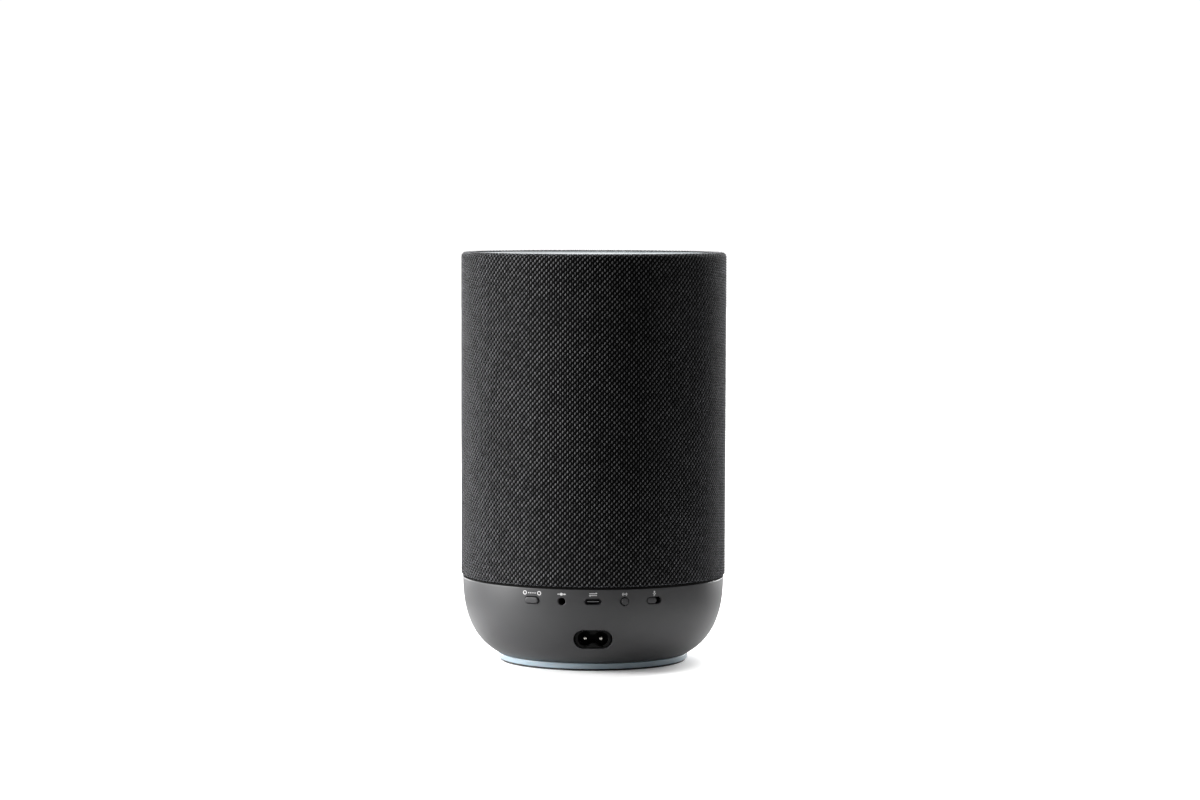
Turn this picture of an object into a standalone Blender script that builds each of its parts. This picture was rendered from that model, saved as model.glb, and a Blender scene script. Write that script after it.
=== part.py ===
"""Cylindrical smart speaker: a cloth-covered acoustic tower on a rounded plastic tub.

The front faces -Y and the connector panel faces +Y. The origin is the centre of the foot's
underside and +Z is up. Sizes are in millimetres and become metres where a mesh is made.
"""

import math

import bmesh
import bpy
import numpy as np
from mathutils import Euler, Vector

MM = 0.001
FIT_GAP = 0.3

# Driving sizes of the whole speaker.
BODY_RADIUS = 73.0
TOTAL_HEIGHT = 224.5
TUB_HEIGHT = 42.3
RING_RADIUS = 52.3
RING_HEIGHT = 3.0
FOOT_HEIGHT = 0.8
ROUND_STEPS = 48
INNER_STEPS = 24

# Walls and skins.
CLOTH_THICKNESS = 1.2
CLOTH_OVERHANG = 0.95
CLOTH_CORNER = 2.8
CLOTH_RIM = 6.3
GRILLE_WALL = 2.4
GRILLE_FLANGE = 3.6
TUB_WALL = 2.5
TUB_LEDGE = 2.3
CABINET_WALL = 3.0
GASKET_THICKNESS = 1.0

# Top controls.
PLATE_RECESS = 1.0
PLATE_THICKNESS = 2.5
BOARD_THICKNESS = 1.6
TRAY_FLOOR = 2.7
TRAY_WIRE_HOLE = 8.0
TRAY_LEG_RADIUS = 3.5
TRAY_LEG_LENGTH = 7.0

# Connector panel at the back of the tub.
PORT_DROP = 6.8
PORT_PITCH = 17.0
BUTTON_TRAVEL = 0.8
CONNECT_LENGTH = 8.6
CONNECT_WIDTH = 4.0
PAIRING_RADIUS = 2.25
MIC_SLOT_LENGTH = 8.8
MIC_SLOT_WIDTH = 3.9
MIC_KNOB_LENGTH = 5.9
BUTTON_CLEARANCE = 0.25
BUTTON_FLANGE = 0.7
BUTTON_FLANGE_THICKNESS = 1.4
USB_LENGTH = 8.9
USB_WIDTH = 3.2
USB_WALL = 0.3
USB_SEAT = 2.5
AUX_BORE = 1.8
AUX_DEPTH = 12.0
INLET_RISE = 14.6
INLET_LENGTH = 20.3
INLET_WIDTH = 10.0
INLET_DEPTH = 16.6
INLET_CAVITY_DEPTH = 12.0
INLET_CAVITY_RADIUS = 3.8
PIN_PITCH = 8.6
PIN_RADIUS = 1.2
PIN_RECESS = 1.4
PIN_TAIL = 2.0

# Drivers: woofer at the front, passive radiator at the back, two tweeters above the woofer.
DRIVER_RADIUS = 39.5
DRIVER_FLANGE = 2.8
DRIVER_LIP = 5.6
SURROUND_WIDTH = 4.7
WOOFER_TRAVEL = 4.0
BASKET_DEPTH = 28.0
COIL_RADIUS = 12.3
COIL_WALL = 0.8
MAGNET_DEPTH = 17.3
TWEETER_RADIUS = 16.0
TWEETER_TRAVEL = 0.3
TWEETER_GAP = 4.0
SEAT_MARGIN = 1.2

# Base internals.
POST_RADIUS = 3.2
POST_INSET = 7.8
SCREW_RADIUS = 1.4
SCREW_HEAD = 2.8
SCREW_LENGTH = 10.0
COVER_THICKNESS = 2.4
STANDOFF_RADIUS = 2.5
LED_BOARD_WIDTH = 9.0
POWER_BOARD_RISE = 4.6
DECK_THICKNESS = 2.4
LEAD_RADIUS = 1.5
RIBBON_WIDTH = 12.0
RIBBON_THICKNESS = 0.4

# Levels and radii that follow from the sizes above.
RING_BOTTOM = FOOT_HEIGHT + FIT_GAP
RING_TOP = RING_BOTTOM + RING_HEIGHT
TUB_BOTTOM = RING_TOP + FIT_GAP
SEAM = TUB_BOTTOM + TUB_HEIGHT
TUB_RADIUS = BODY_RADIUS - CLOTH_OVERHANG
GRILLE_RADIUS = BODY_RADIUS - CLOTH_THICKNESS - FIT_GAP
GRILLE_INNER = GRILLE_RADIUS - GRILLE_WALL
CLOTH_INNER_EDGE = BODY_RADIUS - CLOTH_RIM
PLATE_TOP = TOTAL_HEIGHT - PLATE_RECESS
PLATE_BOTTOM = PLATE_TOP - PLATE_THICKNESS
PLATE_RADIUS = CLOTH_INNER_EDGE - 0.4
GRILLE_TOP = TOTAL_HEIGHT - CLOTH_THICKNESS - FIT_GAP
FLANGE_BOTTOM = GRILLE_TOP - GRILLE_FLANGE
TRAY_TOP = PLATE_BOTTOM - FIT_GAP
TRAY_RADIUS = GRILLE_INNER - FIT_GAP
TRAY_POCKET = TRAY_TOP - BOARD_THICKNESS - 2 * FIT_GAP + 0.1
TRAY_BOTTOM = TRAY_POCKET - TRAY_FLOOR
TOUCH_BOARD_RADIUS = PLATE_RADIUS - 8.0
PORT_LEVEL = SEAM - PORT_DROP
MAIN_BOARD_TOP = PORT_LEVEL - 2.6
MAIN_BOARD_BOTTOM = MAIN_BOARD_TOP - BOARD_THICKNESS
DECK_BOTTOM = SEAM + FIT_GAP
DECK_TOP = DECK_BOTTOM + DECK_THICKNESS
CABINET_BOTTOM = DECK_TOP + 0.4
CABINET_RADIUS = GRILLE_INNER - 5.1
LID_TOP = TRAY_BOTTOM - TRAY_LEG_LENGTH - FIT_GAP
CABINET_TOP = LID_TOP - CABINET_WALL - GASKET_THICKNESS - 2 * FIT_GAP
CABINET_FLOOR = CABINET_BOTTOM + CABINET_WALL
SEAT = math.sqrt(CABINET_RADIUS**2 - (DRIVER_RADIUS + SEAT_MARGIN) ** 2)
DRIVER_STACK = 2 * (DRIVER_RADIUS + TWEETER_RADIUS)
DRIVER_SPACE = (CABINET_TOP - CABINET_FLOOR - DRIVER_STACK) / 3
WOOFER_LEVEL = CABINET_FLOOR + DRIVER_SPACE + DRIVER_RADIUS
TWEETER_LEVEL = CABINET_TOP - DRIVER_SPACE - TWEETER_RADIUS
TWEETER_SPREAD = TWEETER_RADIUS + TWEETER_GAP / 2
DRIVER_NECK = DRIVER_RADIUS - DRIVER_LIP
SURROUND_OUTER = DRIVER_NECK - 2.2
SURROUND_INNER = SURROUND_OUTER - SURROUND_WIDTH
MAGNET_RADIUS = 0.7 * DRIVER_RADIUS
PORT_ANGLE = PORT_PITCH / TUB_RADIUS
POST_CIRCLE = RING_RADIUS - POST_INSET
LED_BOARD_RADIUS = POST_CIRCLE - POST_RADIUS - 0.4
LED_BOARD_INNER = LED_BOARD_RADIUS - LED_BOARD_WIDTH
INLET_HEIGHT = TUB_BOTTOM + INLET_RISE
POWER_BOARD_LEVEL = TUB_BOTTOM + POWER_BOARD_RISE
FRONT = math.pi
BACK = 0.0


def make_material(name, colour, roughness, metallic=0.0):
    material = bpy.data.materials.new(name)
    material.use_nodes = True
    shader = material.node_tree.nodes["Principled BSDF"]
    shader.inputs["Base Color"].default_value = (*colour, 1.0)
    shader.inputs["Roughness"].default_value = roughness
    shader.inputs["Metallic"].default_value = metallic
    material.diffuse_color = (*colour, 1.0)
    return material


def place(obj, material=None, at=(0, 0, 0), facing=None):
    """Adds the object to the scene. Facing is the angle from +Y towards +X that its local Z points at."""
    bpy.context.scene.collection.objects.link(obj)
    obj.location = Vector(at) * MM
    if facing is not None:
        obj.rotation_euler = Euler((math.pi / 2, 0, math.pi - facing))
    if material is not None:
        obj.data.materials.append(material)
    return obj


def mesh_object(name, bm, material, at=(0, 0, 0), facing=None, sharp_degrees=35):
    bmesh.ops.remove_doubles(bm, verts=bm.verts, dist=1e-6)
    bmesh.ops.recalc_face_normals(bm, faces=bm.faces)
    mesh = bpy.data.meshes.new(name)
    bm.to_mesh(mesh)
    bm.free()
    mesh.shade_smooth()
    mesh.set_sharp_from_angle(angle=math.radians(sharp_degrees))
    return place(bpy.data.objects.new(name, mesh), material, at, facing)


def turned(name, profile, material, at=(0, 0, 0), facing=None, steps=INNER_STEPS):
    """A lathed solid about local Z from a closed loop of (radius, height) points.

    A loop whose first and last points are on the axis is left open there, which makes a full solid.
    """
    bm = bmesh.new()
    points = [bm.verts.new((r * MM, 0, z * MM)) for r, z in profile]
    pairs = list(zip(points, points[1:]))
    if profile[0][0] > 0 or profile[-1][0] > 0:
        pairs.append((points[-1], points[0]))
    edges = [bm.edges.new(pair) for pair in pairs]
    bmesh.ops.spin(
        bm,
        geom=points + edges,
        cent=(0, 0, 0),
        axis=(0, 0, 1),
        angle=2 * math.pi,
        steps=steps,
        use_merge=True,
    )
    return mesh_object(name, bm, material, at, facing)


def prism(name, outline, low, high, material, at=(0, 0, 0), facing=None, chamfer=0.0):
    """A straight extrusion along local Z of an outline of (x, y) points, its top edge chamfered."""
    bm = bmesh.new()
    face = bm.faces.new([bm.verts.new((x * MM, y * MM, low * MM)) for x, y in outline])
    made = bmesh.ops.extrude_face_region(bm, geom=[face])
    top = [v for v in made["geom"] if isinstance(v, bmesh.types.BMVert)]
    bmesh.ops.translate(bm, verts=top, vec=(0, 0, (high - low) * MM))
    if chamfer:
        edges = [e for e in bm.edges if all(v in top for v in e.verts)]
        bmesh.ops.bevel(
            bm, geom=edges, offset=chamfer * MM, segments=1, affect="EDGES"
        )
    return mesh_object(name, bm, material, at, facing)


def rectangle(length, width):
    x, y = length / 2, width / 2
    return [(-x, -y), (x, -y), (x, y), (-x, y)]


def circle(radius, steps=24):
    angles = (2 * math.pi * i / steps for i in range(steps))
    return [(radius * math.cos(a), radius * math.sin(a)) for a in angles]


def stadium(length, width, steps=7):
    """A rectangle whose short ends are half circles."""
    radius, reach = width / 2, (length - width) / 2
    points = []
    for side, start in ((1, -math.pi / 2), (-1, math.pi / 2)):
        for i in range(steps + 1):
            angle = start + math.pi * i / steps
            points.append((side * reach + radius * math.cos(angle), radius * math.sin(angle)))
    return points


def flatted_circle(radius, flat, steps=14):
    """A circle cut off by straight lines at y = -flat and y = flat."""
    limit = math.asin(flat / radius)
    right = [limit * (2 * i / steps - 1) for i in range(steps + 1)]
    return [
        (side * radius * math.cos(a), side * radius * math.sin(a))
        for side in (1, -1)
        for a in right
    ]


def shifted(outline, x, y):
    return [(px + x, py + y) for px, py in outline]


def cutter(obj):
    obj.hide_render = True
    obj.display_type = "WIRE"
    return obj


def combine(obj, tool, operation):
    """A live Boolean on obj with a hidden tool."""
    cutter(tool)
    modifier = obj.modifiers.new(tool.name, "BOOLEAN")
    modifier.operation = operation
    modifier.solver = "EXACT"
    modifier.object = tool
    return obj


def cut(obj, *tools):
    for tool in tools:
        combine(obj, tool, "DIFFERENCE")
    return obj


def join(obj, *tools):
    for tool in tools:
        combine(obj, tool, "UNION")
    return obj


def cable(name, route, radius, material, points=24):
    """A round lead along a smooth curve through the points of a route."""
    knots = np.array(route, float)
    spans = np.linalg.norm(np.diff(knots, axis=0), axis=1)
    along = np.concatenate([[0], np.cumsum(spans)])
    slopes = np.gradient(knots, along, axis=0)
    curve = bpy.data.curves.new(name, "CURVE")
    curve.dimensions = "3D"
    curve.bevel_depth = radius * MM
    curve.bevel_resolution = 1
    curve.use_fill_caps = True
    spline = curve.splines.new("POLY")
    spline.points.add(points - 1)
    for point, s in zip(spline.points, np.linspace(0, along[-1], points)):
        i = min(int(np.searchsorted(along, s, "right")) - 1, len(spans) - 1)
        t = (s - along[i]) / spans[i]
        start = 2 * t**3 - 3 * t**2 + 1
        out = t**3 - 2 * t**2 + t
        back = t**3 - t**2
        position = (
            start * knots[i]
            + (1 - start) * knots[i + 1]
            + spans[i] * (out * slopes[i] + back * slopes[i + 1])
        )
        point.co = (*(position * MM), 1)
    return place(bpy.data.objects.new(name, curve), material)


def arc(centre, radius, start, end, steps):
    """Points on an arc in the (radius, height) plane, from one angle in degrees to another."""
    angles = np.radians(np.linspace(start, end, steps + 1))
    return [(centre[0] + radius * math.cos(a), centre[1] + radius * math.sin(a)) for a in angles]


def tub_curve(t):
    """The tub's outer profile at t from 0 at the seam to 1 at the light ring: one cubic curve.

    It leaves the seam straight down and comes in to the ring at a shallow slope.
    """
    ends = np.array([(TUB_RADIUS, SEAM), (RING_RADIUS, TUB_BOTTOM)])
    handles = ends + np.array([(0, -0.51), (0.323, 0.168)]) * TUB_HEIGHT
    handles[1, 0] = RING_RADIUS + 0.69 * (TUB_RADIUS - RING_RADIUS)
    t = np.asarray(t, float)[..., None]
    return (
        (1 - t) ** 3 * ends[0]
        + 3 * (1 - t) ** 2 * t * handles[0]
        + 3 * (1 - t) * t**2 * handles[1]
        + t**3 * ends[1]
    )


def tub_inside(t):
    """The tub's inner profile: the outer curve moved in by the wall, square to it."""
    step = 1e-4
    along = tub_curve(np.asarray(t) + step) - tub_curve(np.asarray(t) - step)
    along /= np.linalg.norm(along, axis=-1, keepdims=True)
    inward = np.stack([along[..., 1], -along[..., 0]], axis=-1)
    return tub_curve(t) + TUB_WALL * inward


def tub_wall():
    """The moulded wall's inner corners, from the floor lip up to the ledge that holds the deck."""
    inner = tub_inside(np.linspace(0, 1, 60))
    lip, ledge = TUB_BOTTOM + TUB_WALL, SEAM - TUB_LEDGE
    inner = inner[(inner[:, 1] > lip + 0.5) & (inner[:, 1] < ledge - 0.5)][::-11]
    return np.array([(inner[0][0], lip), *inner, (inner[-1][0], ledge)])


def radius_at(points, level):
    """The radius of a tub profile at a height, at the middle of one of its flats."""
    points = points[np.argsort(points[:, 1])]
    return float(np.interp(level, points[:, 1], points[:, 0])) * math.cos(math.pi / ROUND_STEPS)


def tub_radius(level):
    return radius_at(tub_curve(np.linspace(0, 1, 400)), level)


def behind_panel():
    """How far from the axis a piece behind the connector panel may reach."""
    return radius_at(tub_wall(), PORT_LEVEL - 3) - FIT_GAP


def board_edge():
    """The main board's radius: clear of the buttons' flanges when they are pressed."""
    return behind_panel() - BUTTON_FLANGE_THICKNESS - BUTTON_TRAVEL - 2 * FIT_GAP


def make_cloth():
    corner = (BODY_RADIUS - CLOTH_CORNER, TOTAL_HEIGHT - CLOTH_CORNER)
    hem = SEAM + 0.5
    under = TOTAL_HEIGHT - CLOTH_THICKNESS
    profile = [(BODY_RADIUS, hem)]
    profile += arc(corner, CLOTH_CORNER, 0, 90, 4)
    profile += [(CLOTH_INNER_EDGE + 0.3, TOTAL_HEIGHT), (CLOTH_INNER_EDGE, TOTAL_HEIGHT - 0.4)]
    profile += [(CLOTH_INNER_EDGE, under)]
    profile += arc(corner, CLOTH_CORNER - CLOTH_THICKNESS, 90, 0, 2)
    profile += [(BODY_RADIUS - CLOTH_THICKNESS, hem)]
    turned("fabric_sleeve", profile, CLOTH, steps=ROUND_STEPS)


def make_grille():
    """The open frame that the cloth is stretched over: ribs and hoops with a flange at the top."""
    corner = (BODY_RADIUS - CLOTH_CORNER, TOTAL_HEIGHT - CLOTH_CORNER)
    corner_radius = CLOTH_CORNER - CLOTH_THICKNESS - FIT_GAP
    flange_inner = CLOTH_INNER_EDGE + 0.2
    profile = [(GRILLE_RADIUS, DECK_BOTTOM)]
    profile += arc(corner, corner_radius, 0, 90, 2)
    profile += [(flange_inner, GRILLE_TOP), (flange_inner, FLANGE_BOTTOM)]
    profile += [(GRILLE_INNER, FLANGE_BOTTOM), (GRILLE_INNER, DECK_BOTTOM)]
    frame = turned("grille_frame", profile, BLACK_PLASTIC, steps=ROUND_STEPS)
    ribs, hoops, hoop_height, rib_share = 8, 2, 5.0, 0.12
    low, high = DECK_TOP + hoop_height, FLANGE_BOTTOM - hoop_height
    window = (high - low + hoop_height) / hoops - hoop_height
    half = math.pi / ribs * (1 - rib_share)
    near, far = (GRILLE_INNER - 3) * MM, (GRILLE_RADIUS + 3) * MM
    bm = bmesh.new()
    for rib in range(ribs):
        middle = 2 * math.pi * (rib + 0.5) / ribs
        for hoop in range(hoops):
            bottom = (low + hoop * (window + hoop_height)) * MM
            corners = [
                bm.verts.new((r * math.sin(middle + a), r * math.cos(middle + a), bottom))
                for r, a in ((near, -half), (near, half), (far, half), (far, -half))
            ]
            made = bmesh.ops.extrude_face_region(bm, geom=[bm.faces.new(corners)])
            top = [v for v in made["geom"] if isinstance(v, bmesh.types.BMVert)]
            bmesh.ops.translate(bm, verts=top, vec=(0, 0, window * MM))
    cut(frame, mesh_object("grille_windows", bm, None))


def make_top():
    """The touch plate, its circuit board and the tray that holds both under the cloth's rim."""
    edge = 0.5
    plate = [(0, PLATE_BOTTOM), (PLATE_RADIUS, PLATE_BOTTOM), (PLATE_RADIUS, PLATE_TOP - edge)]
    plate += [(PLATE_RADIUS - edge, PLATE_TOP), (0, PLATE_TOP)]
    turned("top_plate", plate, PALE_PLASTIC, steps=ROUND_STEPS)
    board_bottom = TRAY_POCKET + FIT_GAP
    board = prism(
        "touch_board",
        circle(TOUCH_BOARD_RADIUS, 40),
        board_bottom,
        board_bottom + BOARD_THICKNESS,
        BOARD_GREEN,
    )
    join_depth, mic_circle = 0.4, TOUCH_BOARD_RADIUS - 6
    for i in range(4):
        angle = math.pi / 4 + i * math.pi / 2
        spot = shifted(rectangle(3.8, 3.0), mic_circle * math.cos(angle), mic_circle * math.sin(angle))
        mic = prism(
            f"microphone_shape_{i + 1}",
            spot,
            board_bottom - 0.2,
            board_bottom + join_depth,
            None,
        )
        join(board, mic)
    tray = [(TRAY_WIRE_HOLE, TRAY_BOTTOM), (TRAY_RADIUS, TRAY_BOTTOM)]
    tray += [(TRAY_RADIUS, FLANGE_BOTTOM - FIT_GAP), (PLATE_RADIUS, FLANGE_BOTTOM - FIT_GAP)]
    tray += [(PLATE_RADIUS, TRAY_TOP), (TOUCH_BOARD_RADIUS + 0.4, TRAY_TOP)]
    tray += [(TOUCH_BOARD_RADIUS + 0.4, TRAY_POCKET), (TRAY_WIRE_HOLE, TRAY_POCKET)]
    tray = turned("top_tray", tray, BLACK_PLASTIC, steps=ROUND_STEPS)
    leg = circle(TRAY_LEG_RADIUS, 12)
    low, high = LID_TOP + FIT_GAP, TRAY_BOTTOM + 1
    for i, (x, y) in enumerate(square_places(0.85 * CABINET_RADIUS)):
        join(tray, prism(f"tray_leg_{i + 1}", leg, low, high, None, at=(x, y, 0)))


def make_tub():
    """The moulded tub, with its panel openings and four inner posts."""
    wall = tub_wall()
    lip_radius = POST_CIRCLE + 0.4 * POST_RADIUS
    ledge_radius = TUB_RADIUS - TUB_WALL - 3.0
    profile = [tuple(p) for p in tub_curve(np.linspace(0, 1, 10))]
    profile += [(lip_radius, TUB_BOTTOM), (lip_radius, wall[0][1])]
    profile += [tuple(p) for p in wall]
    profile += [(ledge_radius, wall[-1][1]), (ledge_radius, SEAM)]
    tub = turned("base_tub", profile, GREY_PLASTIC, steps=ROUND_STEPS)
    for i, (x, y) in enumerate(square_places(POST_CIRCLE)):
        post = circle(POST_RADIUS, 12)
        name = f"post_shape_{i + 1}"
        join(tub, prism(name, post, TUB_BOTTOM, MAIN_BOARD_BOTTOM - FIT_GAP, None, at=(x, y, 0)))
        hole = circle(SCREW_RADIUS + FIT_GAP, 8)
        depth = RING_BOTTOM + SCREW_LENGTH + 3
        cut(tub, prism(f"post_hole_{i + 1}", hole, 0, depth, None, at=(x, y, 0)))
    near, far = TUB_RADIUS - 8, TUB_RADIUS + 4
    panel = {
        "connect_opening": (2, stadium(CONNECT_LENGTH, CONNECT_WIDTH)),
        "aux_opening": (1, circle(AUX_BORE + 0.25, 20)),
        "usb_opening": (0, stadium(USB_LENGTH + 2 * FIT_GAP, USB_WIDTH + 2 * FIT_GAP)),
        "pairing_opening": (-1, circle(PAIRING_RADIUS, 24)),
        "mic_opening": (-2, stadium(MIC_SLOT_LENGTH, MIC_SLOT_WIDTH)),
    }
    for name, (place_number, outline) in panel.items():
        angle = place_number * PORT_ANGLE
        cut(tub, prism(name, outline, near, far, None, at=(0, 0, PORT_LEVEL), facing=angle))
    opening = stadium(INLET_LENGTH + 2 * FIT_GAP, INLET_WIDTH + 2 * FIT_GAP)
    near = tub_radius(INLET_HEIGHT) - 18
    cut(tub, prism("inlet_opening", opening, near, far, None, at=(0, 0, INLET_HEIGHT), facing=BACK))


def square_places(radius):
    """Four points on a circle, on its diagonals."""
    angles = [math.pi / 4 + i * math.pi / 2 for i in range(4)]
    return [(radius * math.cos(a), radius * math.sin(a)) for a in angles]


def make_underside():
    """Light ring, bottom cover, rubber foot, their screws and the board that lights the ring."""
    ring_inner = RING_RADIUS - 3.2
    profile = [(RING_RADIUS - 0.3, RING_BOTTOM), (RING_RADIUS, RING_TOP)]
    profile += [(ring_inner, RING_TOP), (ring_inner, RING_BOTTOM)]
    turned("light_ring", profile, PALE_PLASTIC, steps=ROUND_STEPS)
    cover_radius = ring_inner - 0.4
    cover_top = RING_BOTTOM + COVER_THICKNESS
    cover = prism("bottom_cover", circle(cover_radius, 48), RING_BOTTOM, cover_top, BLACK_PLASTIC)
    head_top = RING_BOTTOM + 1.1
    for i, (x, y) in enumerate(square_places(POST_CIRCLE)):
        at = (x, y, 0)
        bore = circle(SCREW_RADIUS + FIT_GAP, 8)
        sink = circle(SCREW_HEAD + FIT_GAP, 12)
        cut(
            cover,
            prism(f"cover_hole_{i + 1}", bore, 0, cover_top + 1, None, at=at),
            prism(f"cover_sink_{i + 1}", sink, 0, head_top + FIT_GAP, None, at=at),
        )
        screw = [(0, RING_BOTTOM + 0.1), (SCREW_HEAD, RING_BOTTOM + 0.1), (SCREW_HEAD, head_top)]
        screw += [(SCREW_RADIUS, head_top), (SCREW_RADIUS, RING_BOTTOM + SCREW_LENGTH)]
        screw += [(0, RING_BOTTOM + SCREW_LENGTH + 1)]
        turned(f"cover_screw_{i + 1}", screw, STEEL, at=at, steps=8)
    standoff = circle(STANDOFF_RADIUS, 12)
    low, high = cover_top - 1, POWER_BOARD_LEVEL - FIT_GAP
    for i, (x, y) in enumerate(square_places(LED_BOARD_INNER - STANDOFF_RADIUS - 1)):
        join(cover, prism(f"standoff_{i + 1}", standoff, low, high, None, at=(x, y, 0)))
    foot_inner = POST_CIRCLE - SCREW_HEAD - 1
    foot = [(foot_inner, 0), (RING_RADIUS - 1.4, 0), (RING_RADIUS - 1.1, FOOT_HEIGHT)]
    foot += [(foot_inner, FOOT_HEIGHT)]
    turned("foot_ring", foot, RUBBER, steps=ROUND_STEPS)
    board_bottom = cover_top + FIT_GAP
    board_top = board_bottom + 1.2
    board = [(LED_BOARD_INNER, board_bottom), (LED_BOARD_RADIUS, board_bottom)]
    board += [(LED_BOARD_RADIUS, board_top), (LED_BOARD_INNER, board_top)]
    turned("led_board", board, BOARD_GREEN)


def make_buttons():
    """The three moving controls, each with the switch on the main board that it works."""
    face = TUB_RADIUS - 0.35
    flange_front = behind_panel()
    flange_back = flange_front - BUTTON_FLANGE_THICKNESS
    trim = 2 * BUTTON_CLEARANCE
    grow = 2 * (BUTTON_FLANGE + BUTTON_CLEARANCE)
    shapes = {
        "connect": (
            2,
            stadium(CONNECT_LENGTH - trim, CONNECT_WIDTH - trim),
            stadium(CONNECT_LENGTH - trim + grow, CONNECT_WIDTH - trim + grow),
        ),
        "pairing": (
            -1,
            circle(PAIRING_RADIUS - BUTTON_CLEARANCE),
            circle(PAIRING_RADIUS - BUTTON_CLEARANCE + grow / 2),
        ),
    }
    plunger_top = flange_back - FIT_GAP
    switch_front = plunger_top - BUTTON_TRAVEL - 0.6
    plunger_back = switch_front - 1.6
    for name, (place_number, cap, flange) in shapes.items():
        angle = place_number * PORT_ANGLE
        at = (0, 0, PORT_LEVEL)
        button = prism(f"{name}_button", cap, flange_front - 0.2, face, GREY_PLASTIC, at, angle, 0.3)
        base = prism(f"{name}_flange", flange, flange_back, flange_front, None, at, angle)
        join(button, base)
        switch = make_switch(f"{name}_switch", angle, switch_front, 6.0)
        hole = circle(1.2, 12)
        depth = plunger_back - BUTTON_TRAVEL - 0.4
        cut(switch, prism(f"{name}_bore", hole, depth, switch_front + 1, None, at, angle))
        turned(
            f"{name}_plunger",
            [(0, plunger_back), (0.85, plunger_back), (0.85, plunger_top), (0, plunger_top)],
            BLACK_PLASTIC,
            at,
            angle,
            steps=12,
        )
    make_mic_slider(face, flange_front, switch_front)


def mic_travel():
    return MIC_SLOT_LENGTH - MIC_KNOB_LENGTH - 2 * BUTTON_CLEARANCE


def make_mic_slider(face, flange_front, switch_front):
    """The mute slider rests at one end of its slot and slides sideways to the other."""
    angle = -2 * PORT_ANGLE
    at = (0, 0, PORT_LEVEL)
    rest = -mic_travel() / 2
    width = MIC_SLOT_WIDTH - 2 * BUTTON_CLEARANCE
    knob = shifted(stadium(MIC_KNOB_LENGTH, width), rest, 0)
    slider = prism("mic_slider", knob, flange_front - 0.2, face, GREY_PLASTIC, at, angle, 0.3)
    flange = shifted(stadium(MIC_KNOB_LENGTH + 1.2, width + 1.6), rest, 0)
    flange_back = flange_front - BUTTON_FLANGE_THICKNESS
    join(slider, prism("mic_flange", flange, flange_back, flange_front, None, at, angle))
    switch = make_switch("mic_switch", angle, switch_front, 8.6)
    lever_length, lever_width = 1.6, 1.4
    track = rectangle(mic_travel() + lever_length + 2 * FIT_GAP, lever_width + 2 * FIT_GAP)
    track_floor = switch_front - 2.2
    cut(switch, prism("mic_track", track, track_floor, switch_front + 1, None, at, angle))
    lever = shifted(rectangle(lever_length, lever_width), rest, 0)
    low, high = track_floor + FIT_GAP, flange_back - FIT_GAP
    prism("mic_switch_lever", lever, low, high, BLACK_PLASTIC, at, angle)


def make_switch(name, angle, front, length):
    """A side-worked switch body standing on the main board, its front at a distance from the axis."""
    height = 2 * (PORT_LEVEL - MAIN_BOARD_TOP - FIT_GAP)
    outline = rectangle(length, height)
    at = (0, 0, PORT_LEVEL)
    return prism(name, outline, front - 4.6, front, BLACK_PLASTIC, at, angle)


def make_connectors():
    """USB receptacle, audio jack and two-pin mains inlet."""
    at = (0, 0, PORT_LEVEL)
    mouth = TUB_RADIUS - 0.9
    back = board_edge() - USB_SEAT
    outer = stadium(USB_LENGTH, USB_WIDTH)
    shell = prism("usb_shell", outer, back, mouth, DARK_METAL, at, BACK)
    inner = stadium(USB_LENGTH - 2 * USB_WALL, USB_WIDTH - 2 * USB_WALL)
    foot_low, foot_high = MAIN_BOARD_TOP + FIT_GAP - PORT_LEVEL, USB_WALL - USB_WIDTH / 2
    foot = shifted(rectangle(6, foot_high - foot_low), 0, (foot_low + foot_high) / 2)
    join(shell, prism("usb_foot", foot, back + 0.2, behind_panel(), None, at, BACK))
    cut(shell, prism("usb_mouth", inner, back + 1, mouth + 1, None, at, BACK))
    tongue = rectangle(USB_LENGTH - 2.2, 0.7)
    prism("usb_tongue", tongue, back + 1 + FIT_GAP, mouth - 0.8, BLACK_PLASTIC, at, BACK)
    jack_front = behind_panel()
    jack_height = 2 * (PORT_LEVEL - MAIN_BOARD_TOP - FIT_GAP)
    body = rectangle(6.6, jack_height)
    jack = prism("aux_jack", body, jack_front - AUX_DEPTH, jack_front, BLACK_PLASTIC, at, PORT_ANGLE)
    bore = circle(AUX_BORE, 20)
    floor = jack_front - AUX_DEPTH + 2
    cut(jack, prism("aux_bore", bore, floor, jack_front + 1, None, at, PORT_ANGLE))
    make_inlet()


def inlet_face():
    """The inlet's front is level with the lower edge of its opening."""
    lower = tub_radius(INLET_HEIGHT - INLET_WIDTH / 2)
    return math.sqrt(lower**2 - (INLET_LENGTH / 2) ** 2) - 0.2


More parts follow.
